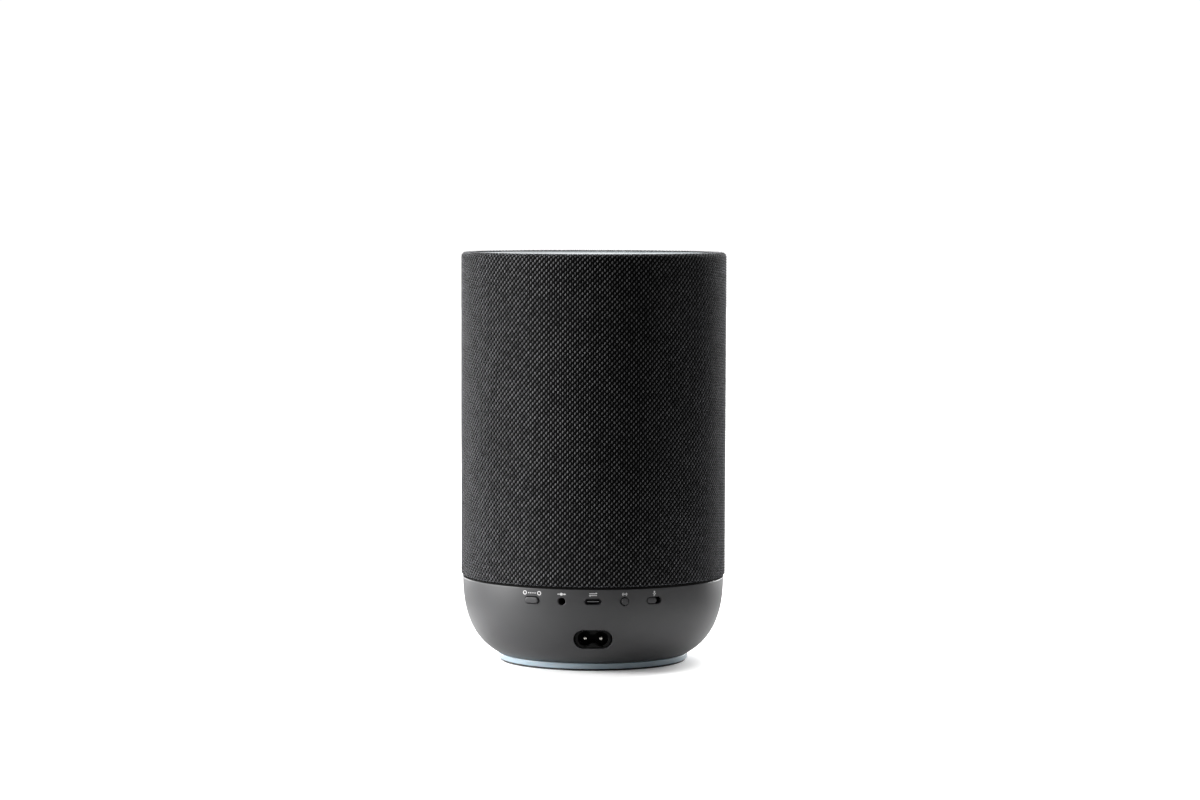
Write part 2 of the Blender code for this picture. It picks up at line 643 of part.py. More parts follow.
def make_inlet():
    at = (0, 0, INLET_HEIGHT)
    face = inlet_face()
    back = face - INLET_DEPTH
    body = stadium(INLET_LENGTH, INLET_WIDTH, 12)
    inlet = prism("mains_inlet", body, back, face, BLACK_PLASTIC, at, BACK)
    floor = face - INLET_CAVITY_DEPTH
    waist = rectangle(PIN_PITCH, 1.26 * INLET_CAVITY_RADIUS)
    cut(inlet, prism("inlet_waist", waist, floor, face + 1, None, at, BACK))
    for name, side in (("left", -1), ("right", 1)):
        x = side * PIN_PITCH / 2
        lobe = shifted(circle(INLET_CAVITY_RADIUS), x, 0)
        cut(inlet, prism(f"inlet_lobe_{name}", lobe, floor, face + 1, None, at, BACK))
        bore = shifted(circle(PIN_RADIUS + FIT_GAP, 16), x, 0)
        cut(inlet, prism(f"inlet_bore_{name}", bore, back - 1, floor + 1, None, at, BACK))
        tip = face - PIN_RECESS
        pin = [(0, back - PIN_TAIL), (PIN_RADIUS, back - PIN_TAIL), (PIN_RADIUS, tip - 0.8)]
        pin += [(0.7 * PIN_RADIUS, tip - 0.2), (0, tip)]
        spot = (-x, 0, INLET_HEIGHT)
        turned(f"inlet_pin_{name}", pin, BRASS, spot, BACK, steps=16)


def make_base_boards():
    """Main board with its heat sink and shield, power board with its parts, and the deck above."""
    board_radius = board_edge()
    flat = board_radius * 0.985
    outline = flatted_circle(board_radius, flat, 24)
    prism("main_board", outline, MAIN_BOARD_BOTTOM, MAIN_BOARD_TOP, BOARD_GREEN)
    base = MAIN_BOARD_TOP + FIT_GAP
    sink_top = DECK_BOTTOM - 2.6
    sink = prism("heat_sink", rectangle(44, 26), base, sink_top, ALUMINIUM, at=(0, -22, 0))
    fins = 6
    pitch = 44 / fins
    for i in range(fins - 1):
        slot = shifted(rectangle(pitch - 2, 30), (i + 1) * pitch - 22, 0)
        cut(sink, prism(f"fin_gap_{i + 1}", slot, base + 2, sink_top + 1, None, at=(0, -22, 0)))
    shield = rectangle(24, 18)
    prism("processor_shield", shield, base, base + 2.6, STEEL, at=(-26, 18, 0), chamfer=0.5)
    power_radius = LED_BOARD_RADIUS
    power_top = POWER_BOARD_LEVEL + BOARD_THICKNESS
    outline = flatted_circle(power_radius, power_radius * 0.8, 16)
    prism("power_board", outline, POWER_BOARD_LEVEL, power_top, BOARD_GREEN)
    part_bottom = power_top + FIT_GAP
    headroom = MAIN_BOARD_BOTTOM - part_bottom
    transformer = rectangle(24, 20)
    top = part_bottom + 0.75 * headroom
    at = (-15, -12, 0)
    prism("power_transformer", transformer, part_bottom, top, COPPER, at=at, chamfer=1.0)
    can = [(0, part_bottom), (8, part_bottom), (8, part_bottom + 0.9 * headroom - 0.8)]
    can += [(7.2, part_bottom + 0.9 * headroom), (0, part_bottom + 0.9 * headroom)]
    turned("power_capacitor", can, DARK_METAL, at=(15, -14, 0), steps=24)
    deck = [(0, DECK_BOTTOM), (TRAY_RADIUS, DECK_BOTTOM), (TRAY_RADIUS, DECK_TOP), (0, DECK_TOP)]
    deck = turned("deck_plate", deck, BLACK_PLASTIC, steps=ROUND_STEPS)
    passage = circle(LEAD_RADIUS + 4.5, 16)
    low, high = DECK_BOTTOM - 1, DECK_TOP + 1
    cut(deck, prism("lead_passage", passage, low, high, None, at=(*LEAD_SPOT, 0)))
    slot = shifted(rectangle(2.4, RIBBON_WIDTH + 1.2), ribbon_reach(), 0)
    cut(deck, prism("ribbon_passage", slot, low, high, None))


LEAD_SPOT = (30.0, 8.0)


def ribbon_reach():
    """Distance from the axis of the ribbon's run down the outside of the cabinet."""
    return CABINET_RADIUS + 1.1


def make_cabinet():
    """The sealed enclosure with its gasket and lid, all with flats for the drivers."""
    outer = flatted_circle(CABINET_RADIUS, SEAT)
    inner = flatted_circle(CABINET_RADIUS - CABINET_WALL, SEAT - CABINET_WALL)
    cabinet = prism("speaker_cabinet", outer, CABINET_BOTTOM, CABINET_TOP, BLACK_PLASTIC)
    cut(cabinet, prism("cabinet_hollow", inner, CABINET_FLOOR, CABINET_TOP + 1, None))
    near, far = SEAT - 2 * CABINET_WALL, SEAT + 2
    neck = circle(DRIVER_NECK + 0.4, 32)
    spot = (0, 0, WOOFER_LEVEL)
    cut(
        cabinet,
        prism("woofer_hole", neck, near, far, None, spot, FRONT),
        prism("radiator_hole", neck, near, far, None, spot, BACK),
    )
    for name, x in tweeter_places():
        hole = circle(TWEETER_RADIUS - 4.1, 24)
        cut(cabinet, prism(f"tweeter_hole_{name}", hole, near, far, None, (x, 0, TWEETER_LEVEL), FRONT))
    gland = circle(LEAD_RADIUS + 2.8, 16)
    at = (*LEAD_SPOT, 0)
    low, high = CABINET_BOTTOM - 1, CABINET_FLOOR + 1
    cut(cabinet, prism("gland_hole", gland, low, high, None, at=at))
    gasket_low = CABINET_TOP + FIT_GAP
    gasket_top = gasket_low + GASKET_THICKNESS
    gasket = prism("cabinet_gasket", outer, gasket_low, gasket_top, RUBBER)
    cut(gasket, prism("gasket_hollow", inner, gasket_low - 1, gasket_top + 1, None))
    lid_low = gasket_top + FIT_GAP
    prism("cabinet_lid", outer, lid_low, lid_low + CABINET_WALL, BLACK_PLASTIC)


def tweeter_places():
    return (("left", -TWEETER_SPREAD), ("right", TWEETER_SPREAD))


def roll_surround(name, level, facing, reach):
    """A half-roll rubber surround between the cone's edge and the frame, with a flat lip each side."""
    middle = (SURROUND_INNER + SURROUND_OUTER) / 2
    radius = (SURROUND_OUTER - SURROUND_INNER) / 2 - 0.5
    skin = 0.35
    profile = [(SURROUND_INNER, reach), (SURROUND_INNER, reach + 2 * skin)]
    profile += arc((middle, reach + skin), radius + skin, 160, 20, 4)
    profile += [(SURROUND_OUTER, reach + 2 * skin), (SURROUND_OUTER, reach)]
    profile += arc((middle, reach + skin), radius - skin, 10, 170, 3)
    turned(name, profile, RUBBER, (0, 0, level), facing)


def make_woofer():
    at = (0, 0, WOOFER_LEVEL)
    flange_back = SEAT + FIT_GAP
    flange_front = flange_back + DRIVER_FLANGE
    edge = flange_back - 0.3
    cone_back = edge - 14.5
    coil_outer = COIL_RADIUS + COIL_WALL
    magnet_front = flange_back - BASKET_DEPTH
    frame_floor = magnet_front + FIT_GAP
    throat = DRIVER_NECK - 1.9
    basket = [(DRIVER_RADIUS, flange_back), (DRIVER_RADIUS, flange_front), (throat, flange_front)]
    basket += [(throat, flange_back - 1.8), (MAGNET_RADIUS - 1.5, frame_floor + 2.4)]
    basket += [(coil_outer + 2, frame_floor + 2.4), (coil_outer + 2, frame_floor)]
    basket += [(MAGNET_RADIUS, frame_floor), (DRIVER_NECK, flange_back - 2.8)]
    basket += [(DRIVER_NECK, flange_back)]
    frame = turned("woofer_basket", basket, PAINTED_STEEL, at, FRONT)
    low, high = frame_floor + 5, flange_back - 6
    for i in range(3):
        slot = rectangle(2 * DRIVER_RADIUS, 17)
        turn = math.pi * i / 3
        slot = [
            (x * math.cos(turn) - y * math.sin(turn), x * math.sin(turn) + y * math.cos(turn))
            for x, y in slot
        ]
        cut(frame, prism(f"basket_windows_{i + 1}", slot, low, high, None, at, FRONT))
    gap_inner, gap_outer = COIL_RADIUS - 0.6, coil_outer + 0.6
    magnet_back = magnet_front - MAGNET_DEPTH
    gap_floor = magnet_front - 12.3
    magnet = [(0, magnet_back), (MAGNET_RADIUS, magnet_back), (MAGNET_RADIUS, magnet_front)]
    magnet += [(gap_outer, magnet_front), (gap_outer, gap_floor), (gap_inner, gap_floor)]
    magnet += [(gap_inner, magnet_front), (0, magnet_front)]
    turned("woofer_magnet", magnet, STEEL, at, FRONT)
    coil_top = cone_back - FIT_GAP
    coil_bottom = gap_floor + WOOFER_TRAVEL + 1
    coil = [(COIL_RADIUS, coil_bottom), (coil_outer, coil_bottom), (coil_outer, coil_top)]
    turned("woofer_voice_coil", coil + [(COIL_RADIUS, coil_top)], COPPER, at, FRONT, steps=24)
    spider_level = frame_floor + 4.2
    spider_outer = MAGNET_RADIUS - 1.7
    spider = [(coil_outer + FIT_GAP, spider_level), (spider_outer, spider_level)]
    spider += [(spider_outer, spider_level + 0.6), (coil_outer + FIT_GAP, spider_level + 0.6)]
    turned("woofer_spider", spider, SPIDER_CLOTH, at, FRONT, steps=24)
    skin = 0.8
    rim = SURROUND_INNER - FIT_GAP
    cap_radius = COIL_RADIUS - 0.5
    cone = [(0, cone_back + 6.4), (0.42 * cap_radius, cone_back + 5.7)]
    cone += [(0.78 * cap_radius, cone_back + 3.6), (cap_radius, cone_back + 1.2)]
    cone += [(rim, edge), (rim, edge - 1.1), (coil_outer, cone_back)]
    cone += [(cap_radius - 1, cone_back), (0.74 * cap_radius, cone_back + 3.6 - skin)]
    cone += [(0.4 * cap_radius, cone_back + 5.7 - skin), (0, cone_back + 6.4 - skin)]
    turned("woofer_cone", cone[::-1], PAPER, at, FRONT)
    roll_surround("woofer_surround", WOOFER_LEVEL, FRONT, edge - 0.4)


def make_radiator():
    at = (0, 0, WOOFER_LEVEL)
    flange_back = SEAT + FIT_GAP
    flange_front = flange_back + DRIVER_FLANGE
    throat = DRIVER_NECK - 1.9
    frame = [(DRIVER_RADIUS, flange_back), (DRIVER_RADIUS, flange_front), (throat, flange_front)]
    frame += [(throat, flange_back - 5), (DRIVER_NECK, flange_back - 5), (DRIVER_NECK, flange_back)]
    turned("radiator_frame", frame, BLACK_PLASTIC, at, BACK)
    edge = flange_back - 0.3
    rim = SURROUND_INNER - FIT_GAP
    weight = rim * 0.45
    disc = [(0, edge - 4.6), (weight, edge - 4.6), (weight, edge - 1.8), (rim, edge - 1.8)]
    disc += [(rim, edge), (weight + 2, edge - 0.6), (0, edge - 0.6)]
    turned("radiator_diaphragm", disc, PAPER, at, BACK)
    roll_surround("radiator_surround", WOOFER_LEVEL, BACK, edge - 0.4)


def make_tweeters():
    body = TWEETER_RADIUS - 4.5
    bore = body - 3.3
    flange_back = SEAT + FIT_GAP
    flange_front = flange_back + 2.3
    frame_back = flange_back - 3.3
    skin = 0.5
    for name, x in tweeter_places():
        at = (x, 0, TWEETER_LEVEL)
        frame = [(TWEETER_RADIUS, flange_back), (TWEETER_RADIUS, flange_front)]
        frame += [(bore + 2.6, flange_front), (bore, flange_front - 1.8), (bore, frame_back)]
        frame += [(body, frame_back), (body, flange_back)]
        turned(f"tweeter_frame_{name}", frame, BLACK_PLASTIC, at, FRONT, steps=24)
        magnet_front = frame_back - FIT_GAP
        magnet = [(0, magnet_front - 9.7), (body, magnet_front - 9.7), (body, magnet_front)]
        turned(f"tweeter_magnet_{name}", magnet + [(0, magnet_front)], STEEL, at, FRONT, steps=20)
        base, radius = magnet_front + TWEETER_TRAVEL + 0.3, bore - 0.4
        outline = [(1.0, 0), (0.93, 1.1), (0.6, 2.4), (0, 3.1)]
        outer = [(radius * share, base + rise) for share, rise in outline]
        inner = [((radius - skin) * share, base + rise * 0.84) for share, rise in outline]
        turned(f"tweeter_dome_{name}", inner[::-1] + outer, SILK, at, FRONT, steps=20)


def make_wiring():
    """The flat ribbon to the touch board, the speaker lead through its gland, and the mains leads."""
    reach = ribbon_reach()
    half = RIBBON_THICKNESS / 2
    upper = (TRAY_BOTTOM + LID_TOP) / 2
    top = TRAY_POCKET - 0.1
    foot = MAIN_BOARD_TOP + FIT_GAP
    inner_end = reach - 8
    outline = [(-half, top), (-half, upper - half), (reach - half, upper - half)]
    outline += [(reach - half, foot + 2 * half), (inner_end, foot + 2 * half), (inner_end, foot)]
    outline += [(reach + half, foot), (reach + half, upper + half), (half, upper + half), (half, top)]
    low, high = -RIBBON_WIDTH / 2, RIBBON_WIDTH / 2
    bm = bmesh.new()
    face = bm.faces.new([bm.verts.new((x * MM, low * MM, z * MM)) for x, z in outline])
    made = bmesh.ops.extrude_face_region(bm, geom=[face])
    moved = [v for v in made["geom"] if isinstance(v, bmesh.types.BMVert)]
    bmesh.ops.translate(bm, verts=moved, vec=(0, (high - low) * MM, 0))
    mesh_object("touch_ribbon", bm, RIBBON)
    x, y = LEAD_SPOT
    floor = CABINET_FLOOR
    bore, body, flange = LEAD_RADIUS + 0.35, LEAD_RADIUS + 2.5, LEAD_RADIUS + 4.2
    grommet = [(bore, CABINET_BOTTOM), (body, CABINET_BOTTOM), (body, floor + FIT_GAP)]
    grommet += [(flange, floor + FIT_GAP), (flange, floor + 2.2), (bore, floor + 2.2)]
    turned("lead_grommet", grommet, RUBBER, at=(x, y, 0), steps=20)
    run, basket_low = floor + 4.8, WOOFER_LEVEL - DRIVER_NECK
    route = [(x, y, MAIN_BOARD_TOP + 0.4), (x, y, CABINET_BOTTOM), (x, y, floor + 1.6)]
    route += [(x, y, floor + 2.8), (x - 5, y - 8, run), (x - 14, y - 24, run)]
    route += [(x - 18, 24 - SEAT, run), (x - 20, 18 - SEAT, run)]
    route += [(x - 22, 12 - SEAT, basket_low - LEAD_RADIUS - 0.2)]
    cable("speaker_lead", route, LEAD_RADIUS, RUBBER, 30)
    tail = inlet_face() - INLET_DEPTH - PIN_TAIL
    board_top = POWER_BOARD_LEVEL + BOARD_THICKNESS
    for name, side in (("left", 1), ("right", -1)):
        x = side * PIN_PITCH / 2
        route = [(x, tail - FIT_GAP, INLET_HEIGHT), (x, tail - 4, INLET_HEIGHT)]
        route += [(x * 1.6, tail - 14, INLET_HEIGHT - 2), (x * 2, tail - 19, board_top + 1.2)]
        route += [(x * 2, tail - 19.4, board_top + 0.4)]
        cable(f"mains_lead_{name}", route, 1.0, LEAD_BROWN, 14)


for old in list(bpy.data.objects):
    bpy.data.objects.remove(old, do_unlink=True)

CLOTH = make_material("charcoal_cloth", (0.03, 0.03, 0.033), 0.95)
GREY_PLASTIC = make_material("grey_plastic", (0.085, 0.085, 0.09), 0.5)
PALE_PLASTIC = make_material("pale_blue_plastic", (0.55, 0.65, 0.7), 0.35)
BLACK_PLASTIC = make_material("black_plastic", (0.012, 0.012, 0.013), 0.5)
RUBBER = make_material("black_rubber", (0.02, 0.02, 0.02), 0.8)
DARK_METAL = make_material("dark_metal", (0.08, 0.08, 0.085), 0.35, 1.0)
STEEL = make_material("zinc_steel", (0.55, 0.56, 0.57), 0.35, 1.0)
PAINTED_STEEL = make_material("painted_steel", (0.03, 0.03, 0.03), 0.45)
ALUMINIUM = make_material("aluminium", (0.7, 0.7, 0.72), 0.4, 1.0)
BRASS = make_material("nickelled_brass", (0.75, 0.7, 0.6), 0.25, 1.0)
COPPER = make_material("copper_winding", (0.6, 0.27, 0.12), 0.4, 1.0)
BOARD_GREEN = make_material("circuit_board", (0.01, 0.09, 0.04), 0.45)
PAPER = make_material("pulp_cone", (0.03, 0.03, 0.03), 0.85)
SILK = make_material("silk_dome", (0.06, 0.06, 0.07), 0.6)
SPIDER_CLOTH = make_material("spider_cloth", (0.5, 0.35, 0.12), 0.8)
RIBBON = make_material("orange_ribbon", (0.55, 0.22, 0.04), 0.4)
LEAD_BROWN = make_material("brown_lead", (0.12, 0.04, 0.02), 0.5)

make_cloth()
make_grille()
make_top()
make_tub()
make_underside()
make_buttons()
make_connectors()
make_base_boards()
make_cabinet()
make_woofer()
make_radiator()
make_tweeters()
make_wiring()
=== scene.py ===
import math

import bmesh
import bpy
import numpy as np
from mathutils import Matrix, Vector


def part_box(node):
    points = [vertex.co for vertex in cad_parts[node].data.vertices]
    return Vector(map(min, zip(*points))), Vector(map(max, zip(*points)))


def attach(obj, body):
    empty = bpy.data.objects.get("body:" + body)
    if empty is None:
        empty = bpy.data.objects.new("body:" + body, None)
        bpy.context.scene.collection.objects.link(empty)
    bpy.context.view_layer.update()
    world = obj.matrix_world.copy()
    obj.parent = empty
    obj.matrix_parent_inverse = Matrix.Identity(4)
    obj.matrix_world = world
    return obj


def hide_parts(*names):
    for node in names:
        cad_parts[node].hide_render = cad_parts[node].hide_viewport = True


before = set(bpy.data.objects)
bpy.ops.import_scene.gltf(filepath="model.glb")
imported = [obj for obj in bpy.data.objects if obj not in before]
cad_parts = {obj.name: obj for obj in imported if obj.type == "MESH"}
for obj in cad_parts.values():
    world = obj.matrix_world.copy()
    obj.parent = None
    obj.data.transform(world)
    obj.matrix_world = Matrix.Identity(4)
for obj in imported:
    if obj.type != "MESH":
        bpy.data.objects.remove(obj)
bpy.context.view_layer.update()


# ---- Camera -------------------------------------------------------------------------------
# A long lens level with the top of the speaker, looking slightly down at the connector panel
# at the back.
EYE = (0.0, 1.858, 0.2545)
HEADING, TILT, ROLL = 179.891, 86.575, 0.145
SENSOR_WIDTH, LENS = 36.0, 101.2


def turned_by(degrees, axis):
    return Matrix.Rotation(math.radians(degrees), 4, axis)


def place_in_scene(name, data):
    """A new object in the scene that holds a mesh, a light or the camera."""
    made = bpy.data.objects.new(name, data)
    bpy.context.scene.collection.objects.link(made)
    return made


camera_data = bpy.data.cameras.new("rear_view")
camera_data.sensor_width = SENSOR_WIDTH
camera_data.lens = LENS
camera = place_in_scene("rear_view", camera_data)
camera.matrix_world = (
    Matrix.Translation(EYE) @ turned_by(HEADING, "Z") @ turned_by(TILT, "X") @ turned_by(ROLL, "Z")
)
bpy.context.scene.camera = camera


# ---- Foot ---------------------------------------------------------------------------------
# A flat ring of black rubber under the speaker, die-cut from ribbed sheet and stuck to the
# bottom cover. Fine concentric ribs on its underside grip the table.
MM = 0.001


def grid_faces(rows, columns, around=True, along=False):
    """Quads between neighbouring rows and columns of a grid of points. The last column joins
    the first when it runs around, and the last row joins the first when it runs along."""
    i = np.arange(rows if along else rows - 1)[:, None]
    j = np.arange(columns if around else columns - 1)[None, :]
    here, above = i * columns, (i + 1) % rows * columns
    beside = (j + 1) % columns
    corners = [here + j, here + beside, above + beside, above + j]
    return np.stack(corners, axis=-1).reshape(-1, 4)


def merge_doubles(mesh, outwards=True):
    """Makes points that meet one, and turns the faces of a closed form outwards."""
    bm = bmesh.new()
    bm.from_mesh(mesh)
    bmesh.ops.remove_doubles(bm, verts=bm.verts, dist=1e-7)
    if outwards:
        bmesh.ops.recalc_face_normals(bm, faces=bm.faces)
    bm.to_mesh(mesh)
    bm.free()


def smooth(mesh, sharp=35):
    """Smooth shading, except at edges that turn by more than the sharp angle."""
    mesh.shade_smooth()
    mesh.set_sharp_from_angle(angle=math.radians(sharp))


def new_piece(name, points, faces, sharp=35, merge=True):
    """A smooth-shaded object from points in millimetres and the faces between them."""
    mesh = bpy.data.meshes.new(name)
    mesh.from_pydata((points.reshape(-1, 3) * MM).tolist(), [], faces.tolist())
    if merge:
        merge_doubles(mesh)
    smooth(mesh, sharp)
    return place_in_scene(name, mesh)


def rounded(corners, steps=6):
    """A closed outline from corners given as (across, up, radius). Each corner becomes an arc
    that touches both of its sides: from the corner along a side by radius times the tangent of
    half the turn, then round a centre at one radius from both sides."""
    table = np.array(corners, float)
    spot, radius = table[:, :2], table[:, 2:]
    before = np.roll(spot, 1, axis=0) - spot
    after = np.roll(spot, -1, axis=0) - spot
    before /= np.linalg.norm(before, axis=1, keepdims=True)
    after /= np.linalg.norm(after, axis=1, keepdims=True)
    middle = before + after
    half = np.arccos(np.clip(np.sum(before * after, axis=1, keepdims=True), -1, 1)) / 2
    centre = spot + middle / np.linalg.norm(middle, axis=1, keepdims=True) * radius / np.sin(half)
    start = spot + before * radius / np.tan(half) - centre
    sense = np.sign(before[:, :1] * after[:, 1:] - before[:, 1:] * after[:, :1])
    turn = (-sense * (math.pi - 2 * half)) * np.linspace(0, 1, steps + 1)
    x = centre[:, :1] + start[:, :1] * np.cos(turn) - start[:, 1:] * np.sin(turn)
    y = centre[:, 1:] + start[:, :1] * np.sin(turn) + start[:, 1:] * np.cos(turn)
    return np.stack([x, y], axis=-1).reshape(-1, 2)


def spun(profile, steps=192):
    """Points of a closed profile of (radius, level) turned about the upright axis: each point
    goes round at its own radius, in equal steps."""
    angle = np.linspace(0, 2 * math.pi, steps, endpoint=False)
    radius, level = profile[:, :1], profile[:, 1:]
    return np.stack([radius * np.cos(angle), radius * np.sin(angle), level + 0 * angle], axis=-1)


def turned_piece(name, profile, steps=192):
    """A ring with a closed profile, spun about the upright axis."""
    return new_piece(name, spun(profile, steps), grid_faces(len(profile), steps, along=True))


def fit(piece, material, slot, *nodes, body="speaker_body"):
    """Gives a piece its finish, the body that it rides on, and the nodes that it stands for."""
    piece.data.materials.clear()
    piece.data.materials.append(material)
    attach(piece, body)
    if nodes:
        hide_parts(*nodes)


def new_material(name, **sockets):
    """A material with its plain numbers and colours set on the shader's own sockets."""
    material = bpy.data.materials.new(name)
    material.use_nodes = True
    shader = material.node_tree.nodes["Principled BSDF"]
    for socket, value in sockets.items():
        shader.inputs[socket.replace("_", " ")].default_value = value
    return material, material.node_tree, shader


def node(tree, kind, *inputs, **settings):
    """A shader node. Each input is a number, a colour or another node's output, in order, and
    None leaves a socket as it is."""
    made = tree.nodes.new(kind)
    for key, value in settings.items():
        setattr(made, key, value)
    for socket, value in zip(made.inputs, inputs):
        if isinstance(value, bpy.types.NodeSocket):
            tree.links.new(value, socket)
        elif value is not None:
            socket.default_value = value
    return made


def calc(tree, operation, *inputs, clamp=False):
    """One step of arithmetic in a shader."""
    return node(tree, "ShaderNodeMath", *inputs, operation=operation, use_clamp=clamp).outputs[0]


def object_place(tree):
    return node(tree, "ShaderNodeTexCoord").outputs["Object"]


def parts_of(tree, vector):
    return node(tree, "ShaderNodeSeparateXYZ", vector).outputs


def noise(tree, place, scale, detail=2.0):
    return node(tree, "ShaderNodeTexNoise", place, None, scale, detail).outputs["Fac"]


def blend(tree, factor, low, high):
    """A colour between two others, each a red, green and blue or another node's output."""
    ends = [(*end, 1) if isinstance(end, tuple) else end for end in (low, high)]
    rest = [None] * 5
    return node(tree, "ShaderNodeMix", factor, *rest, *ends, data_type="RGBA").outputs[2]


def feed(tree, shader, **sources):
    """Links each source to the shader's socket of that name."""
    for socket, source in sources.items():
        tree.links.new(source, shader.inputs[socket.replace("_", " ")])


def bump(tree, shader, height, depth_mm):
    """Raises the surface by a height of 0 to 1 times a depth in millimetres."""
    made = node(tree, "ShaderNodeBump")
    made.inputs["Strength"].default_value = 1.0
    made.inputs["Distance"].default_value = depth_mm * MM
    feed(tree, made, Height=height)
    feed(tree, shader, Normal=made.outputs[0])


def effect(name, inputs, outputs):
    """An empty shader node group with named inputs and outputs."""
    group = bpy.data.node_groups.new(name, "ShaderNodeTree")
    for label, default in inputs.items():
        socket = group.interface.new_socket(label, in_out="INPUT", socket_type="NodeSocketFloat")
        socket.default_value = default
    for label in outputs:
        group.interface.new_socket(label, in_out="OUTPUT", socket_type="NodeSocketFloat")
    return group, node(group, "NodeGroupInput").outputs, node(group, "NodeGroupOutput").inputs


def use(tree, group, **values):
    """A group placed in a material with its own values."""
    made = node(tree, "ShaderNodeGroup", node_tree=group)
    for label, value in values.items():
        made.inputs[label.replace("_", " ")].default_value = value
    return made.outputs


# Moulded or cast skin: fine pits over a slow unevenness, with both also in the gloss.
moulded_skin, given, result = effect(
    "moulded_skin",
    {"Grain Scale": 3000.0, "Patch Scale": 40.0, "Gloss": 0.5, "Gloss Spread": 0.1},
    ("Height", "Roughness", "Patch"),
)
place = object_place(moulded_skin)
grain = noise(moulded_skin, place, given["Grain Scale"], 2.0)
patch = noise(moulded_skin, place, given["Patch Scale"], 4.0)
centred = calc(moulded_skin, "SUBTRACT", calc(moulded_skin, "ADD", grain, patch), 1.0)
gloss = calc(moulded_skin, "MULTIPLY_ADD", centred, given["Gloss Spread"], given["Gloss"])
for label, value in (("Height", grain), ("Roughness", gloss), ("Patch", patch)):
    moulded_skin.links.new(value, result[label])


def skinned(name, colour, second_colour, gloss, spread, grain_scale, depth_mm, patch_scale=40.0, **sockets):
    """A moulded, cast or coated material: two close colours in slow patches, with a fine grain."""
    material, tree, shader = new_material(name, **sockets)
    skin = use(
        tree,
        moulded_skin,
        Grain_Scale=grain_scale,
        Patch_Scale=patch_scale,
        Gloss=gloss,
        Gloss_Spread=spread,
    )
    tone = blend(tree, skin["Patch"], colour, second_colour)
    feed(tree, shader, Base_Color=tone, Roughness=skin["Roughness"])
    bump(tree, shader, skin["Height"], depth_mm)
    return material


rubber = skinned(
    "black_rubber", (0.012, 0.012, 0.012), (0.028, 0.028, 0.027), 0.75, 0.15, 1400.0, 0.03
)


def in_mm(name):
    """The low and high corners of a CAD part's box, in millimetres."""
    return [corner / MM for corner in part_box(name)]


foot_high = in_mm("foot_ring")[1]
foot_outer, foot_inner, foot_top = foot_high.x, 40.7, foot_high.z
foot_edge, rib_margin = 0.2, 0.6
rib_count, rib_depth = 7, 0.12
across = np.linspace(foot_inner + rib_margin, foot_outer - rib_margin, rib_count * 4 + 1)
rib_turn = np.linspace(0, rib_count * 2 * math.pi, len(across))
ribs = np.stack([across, rib_depth * (0.5 - 0.5 * np.cos(rib_turn))], axis=-1)
foot_corners = [(foot_outer, 0), (foot_outer, foot_top), (foot_inner, foot_top), (foot_inner, 0)]
foot_sides = rounded([(*corner, foot_edge) for corner in foot_corners], 4)
foot = turned_piece("rubber_foot", np.concatenate([ribs, foot_sides]))
fit(foot, rubber, "rubber", "foot_ring")


# ---- Light ring ---------------------------------------------------------------------------
# A ring of pale diffusing plastic between the foot and the tub. It is injection moulded, held
# by the bottom cover, and lit from inside by the board above it.
pale_plastic = skinned(
    "pale_diffuser",
    (0.29, 0.36, 0.41),
    (0.32, 0.39, 0.44),
    0.38,
    0.08,
    2600.0,
    0.004,
    Subsurface_Weight=0.08,
    Subsurface_Scale=0.002,
)
ring_low, ring_high = in_mm("light_ring")
ring_outer, ring_inner = ring_high.x, 49.1
ring_draft, ring_edge, ring_lower_edge = 0.3, 0.3, 0.35
ring_profile = rounded(
    [
        (ring_outer - ring_draft, ring_low.z, ring_lower_edge),
        (ring_outer, ring_high.z, ring_edge),
        (ring_inner, ring_high.z, ring_edge),
        (ring_inner, ring_low.z, ring_edge),
    ]
)
ring = turned_piece("pale_light_ring", ring_profile)
fit(ring, pale_plastic, "pale_plastic", "light_ring")


# ---- Bottom cover -------------------------------------------------------------------------
# A black moulded cover closes the tub from below and carries the foot. Four zinc-plated
# screws go through it into the tub's posts, and the ring-shaped board over it lights the ring.
def dress(material, *names):
    """Gives CAD parts, whose shapes are right as they are, their real finish."""
    for name in names:
        for place in bpy.data.objects[name].material_slots:
            place.material = material


black_plastic = skinned(
    "black_satin_plastic", (0.010, 0.010, 0.011), (0.016, 0.016, 0.017), 0.42, 0.1, 2400.0, 0.008
)


def drawn_metal(name, colour, second_colour, gloss, spread, streaks, depth_mm, **sockets):
    """Rolled or plated metal: long streaks from its die, in two close colours."""
    material, tree, shader = new_material(name, Metallic=1.0, **sockets)
    mapped = node(tree, "ShaderNodeMapping", object_place(tree))
    mapped.inputs["Scale"].default_value = streaks
    height = noise(tree, mapped.outputs[0], 1.0, 5.0)
    rough = calc(tree, "MULTIPLY_ADD", height, 2 * spread, gloss - spread)
    feed(tree, shader, Base_Color=blend(tree, height, colour, second_colour), Roughness=rough)
    bump(tree, shader, height, depth_mm)
    return material


steel = drawn_metal(
    "zinc_plated_steel", (0.50, 0.51, 0.52), (0.62, 0.63, 0.64), 0.32, 0.1, (700, 60, 700), 0.004
)


def part_of(tree, place, pitch):
    """How far through its pitch a place is, from 0 to 1."""
    return calc(tree, "FRACT", calc(tree, "DIVIDE", place, pitch))


def lines(tree, place, pitch, share):
    """One on a stripe and nought beside it: the stripe fills its share of each pitch."""
    return calc(tree, "LESS_THAN", part_of(tree, place, pitch), share)


def chance(tree, i, j):
    """A random number of 0 to 1 that belongs to a pair of whole numbers."""
    pair = node(tree, "ShaderNodeCombineXYZ", i, j, 0.0).outputs[0]
    return node(tree, "ShaderNodeTexWhiteNoise", pair, noise_dimensions="2D").outputs["Value"]


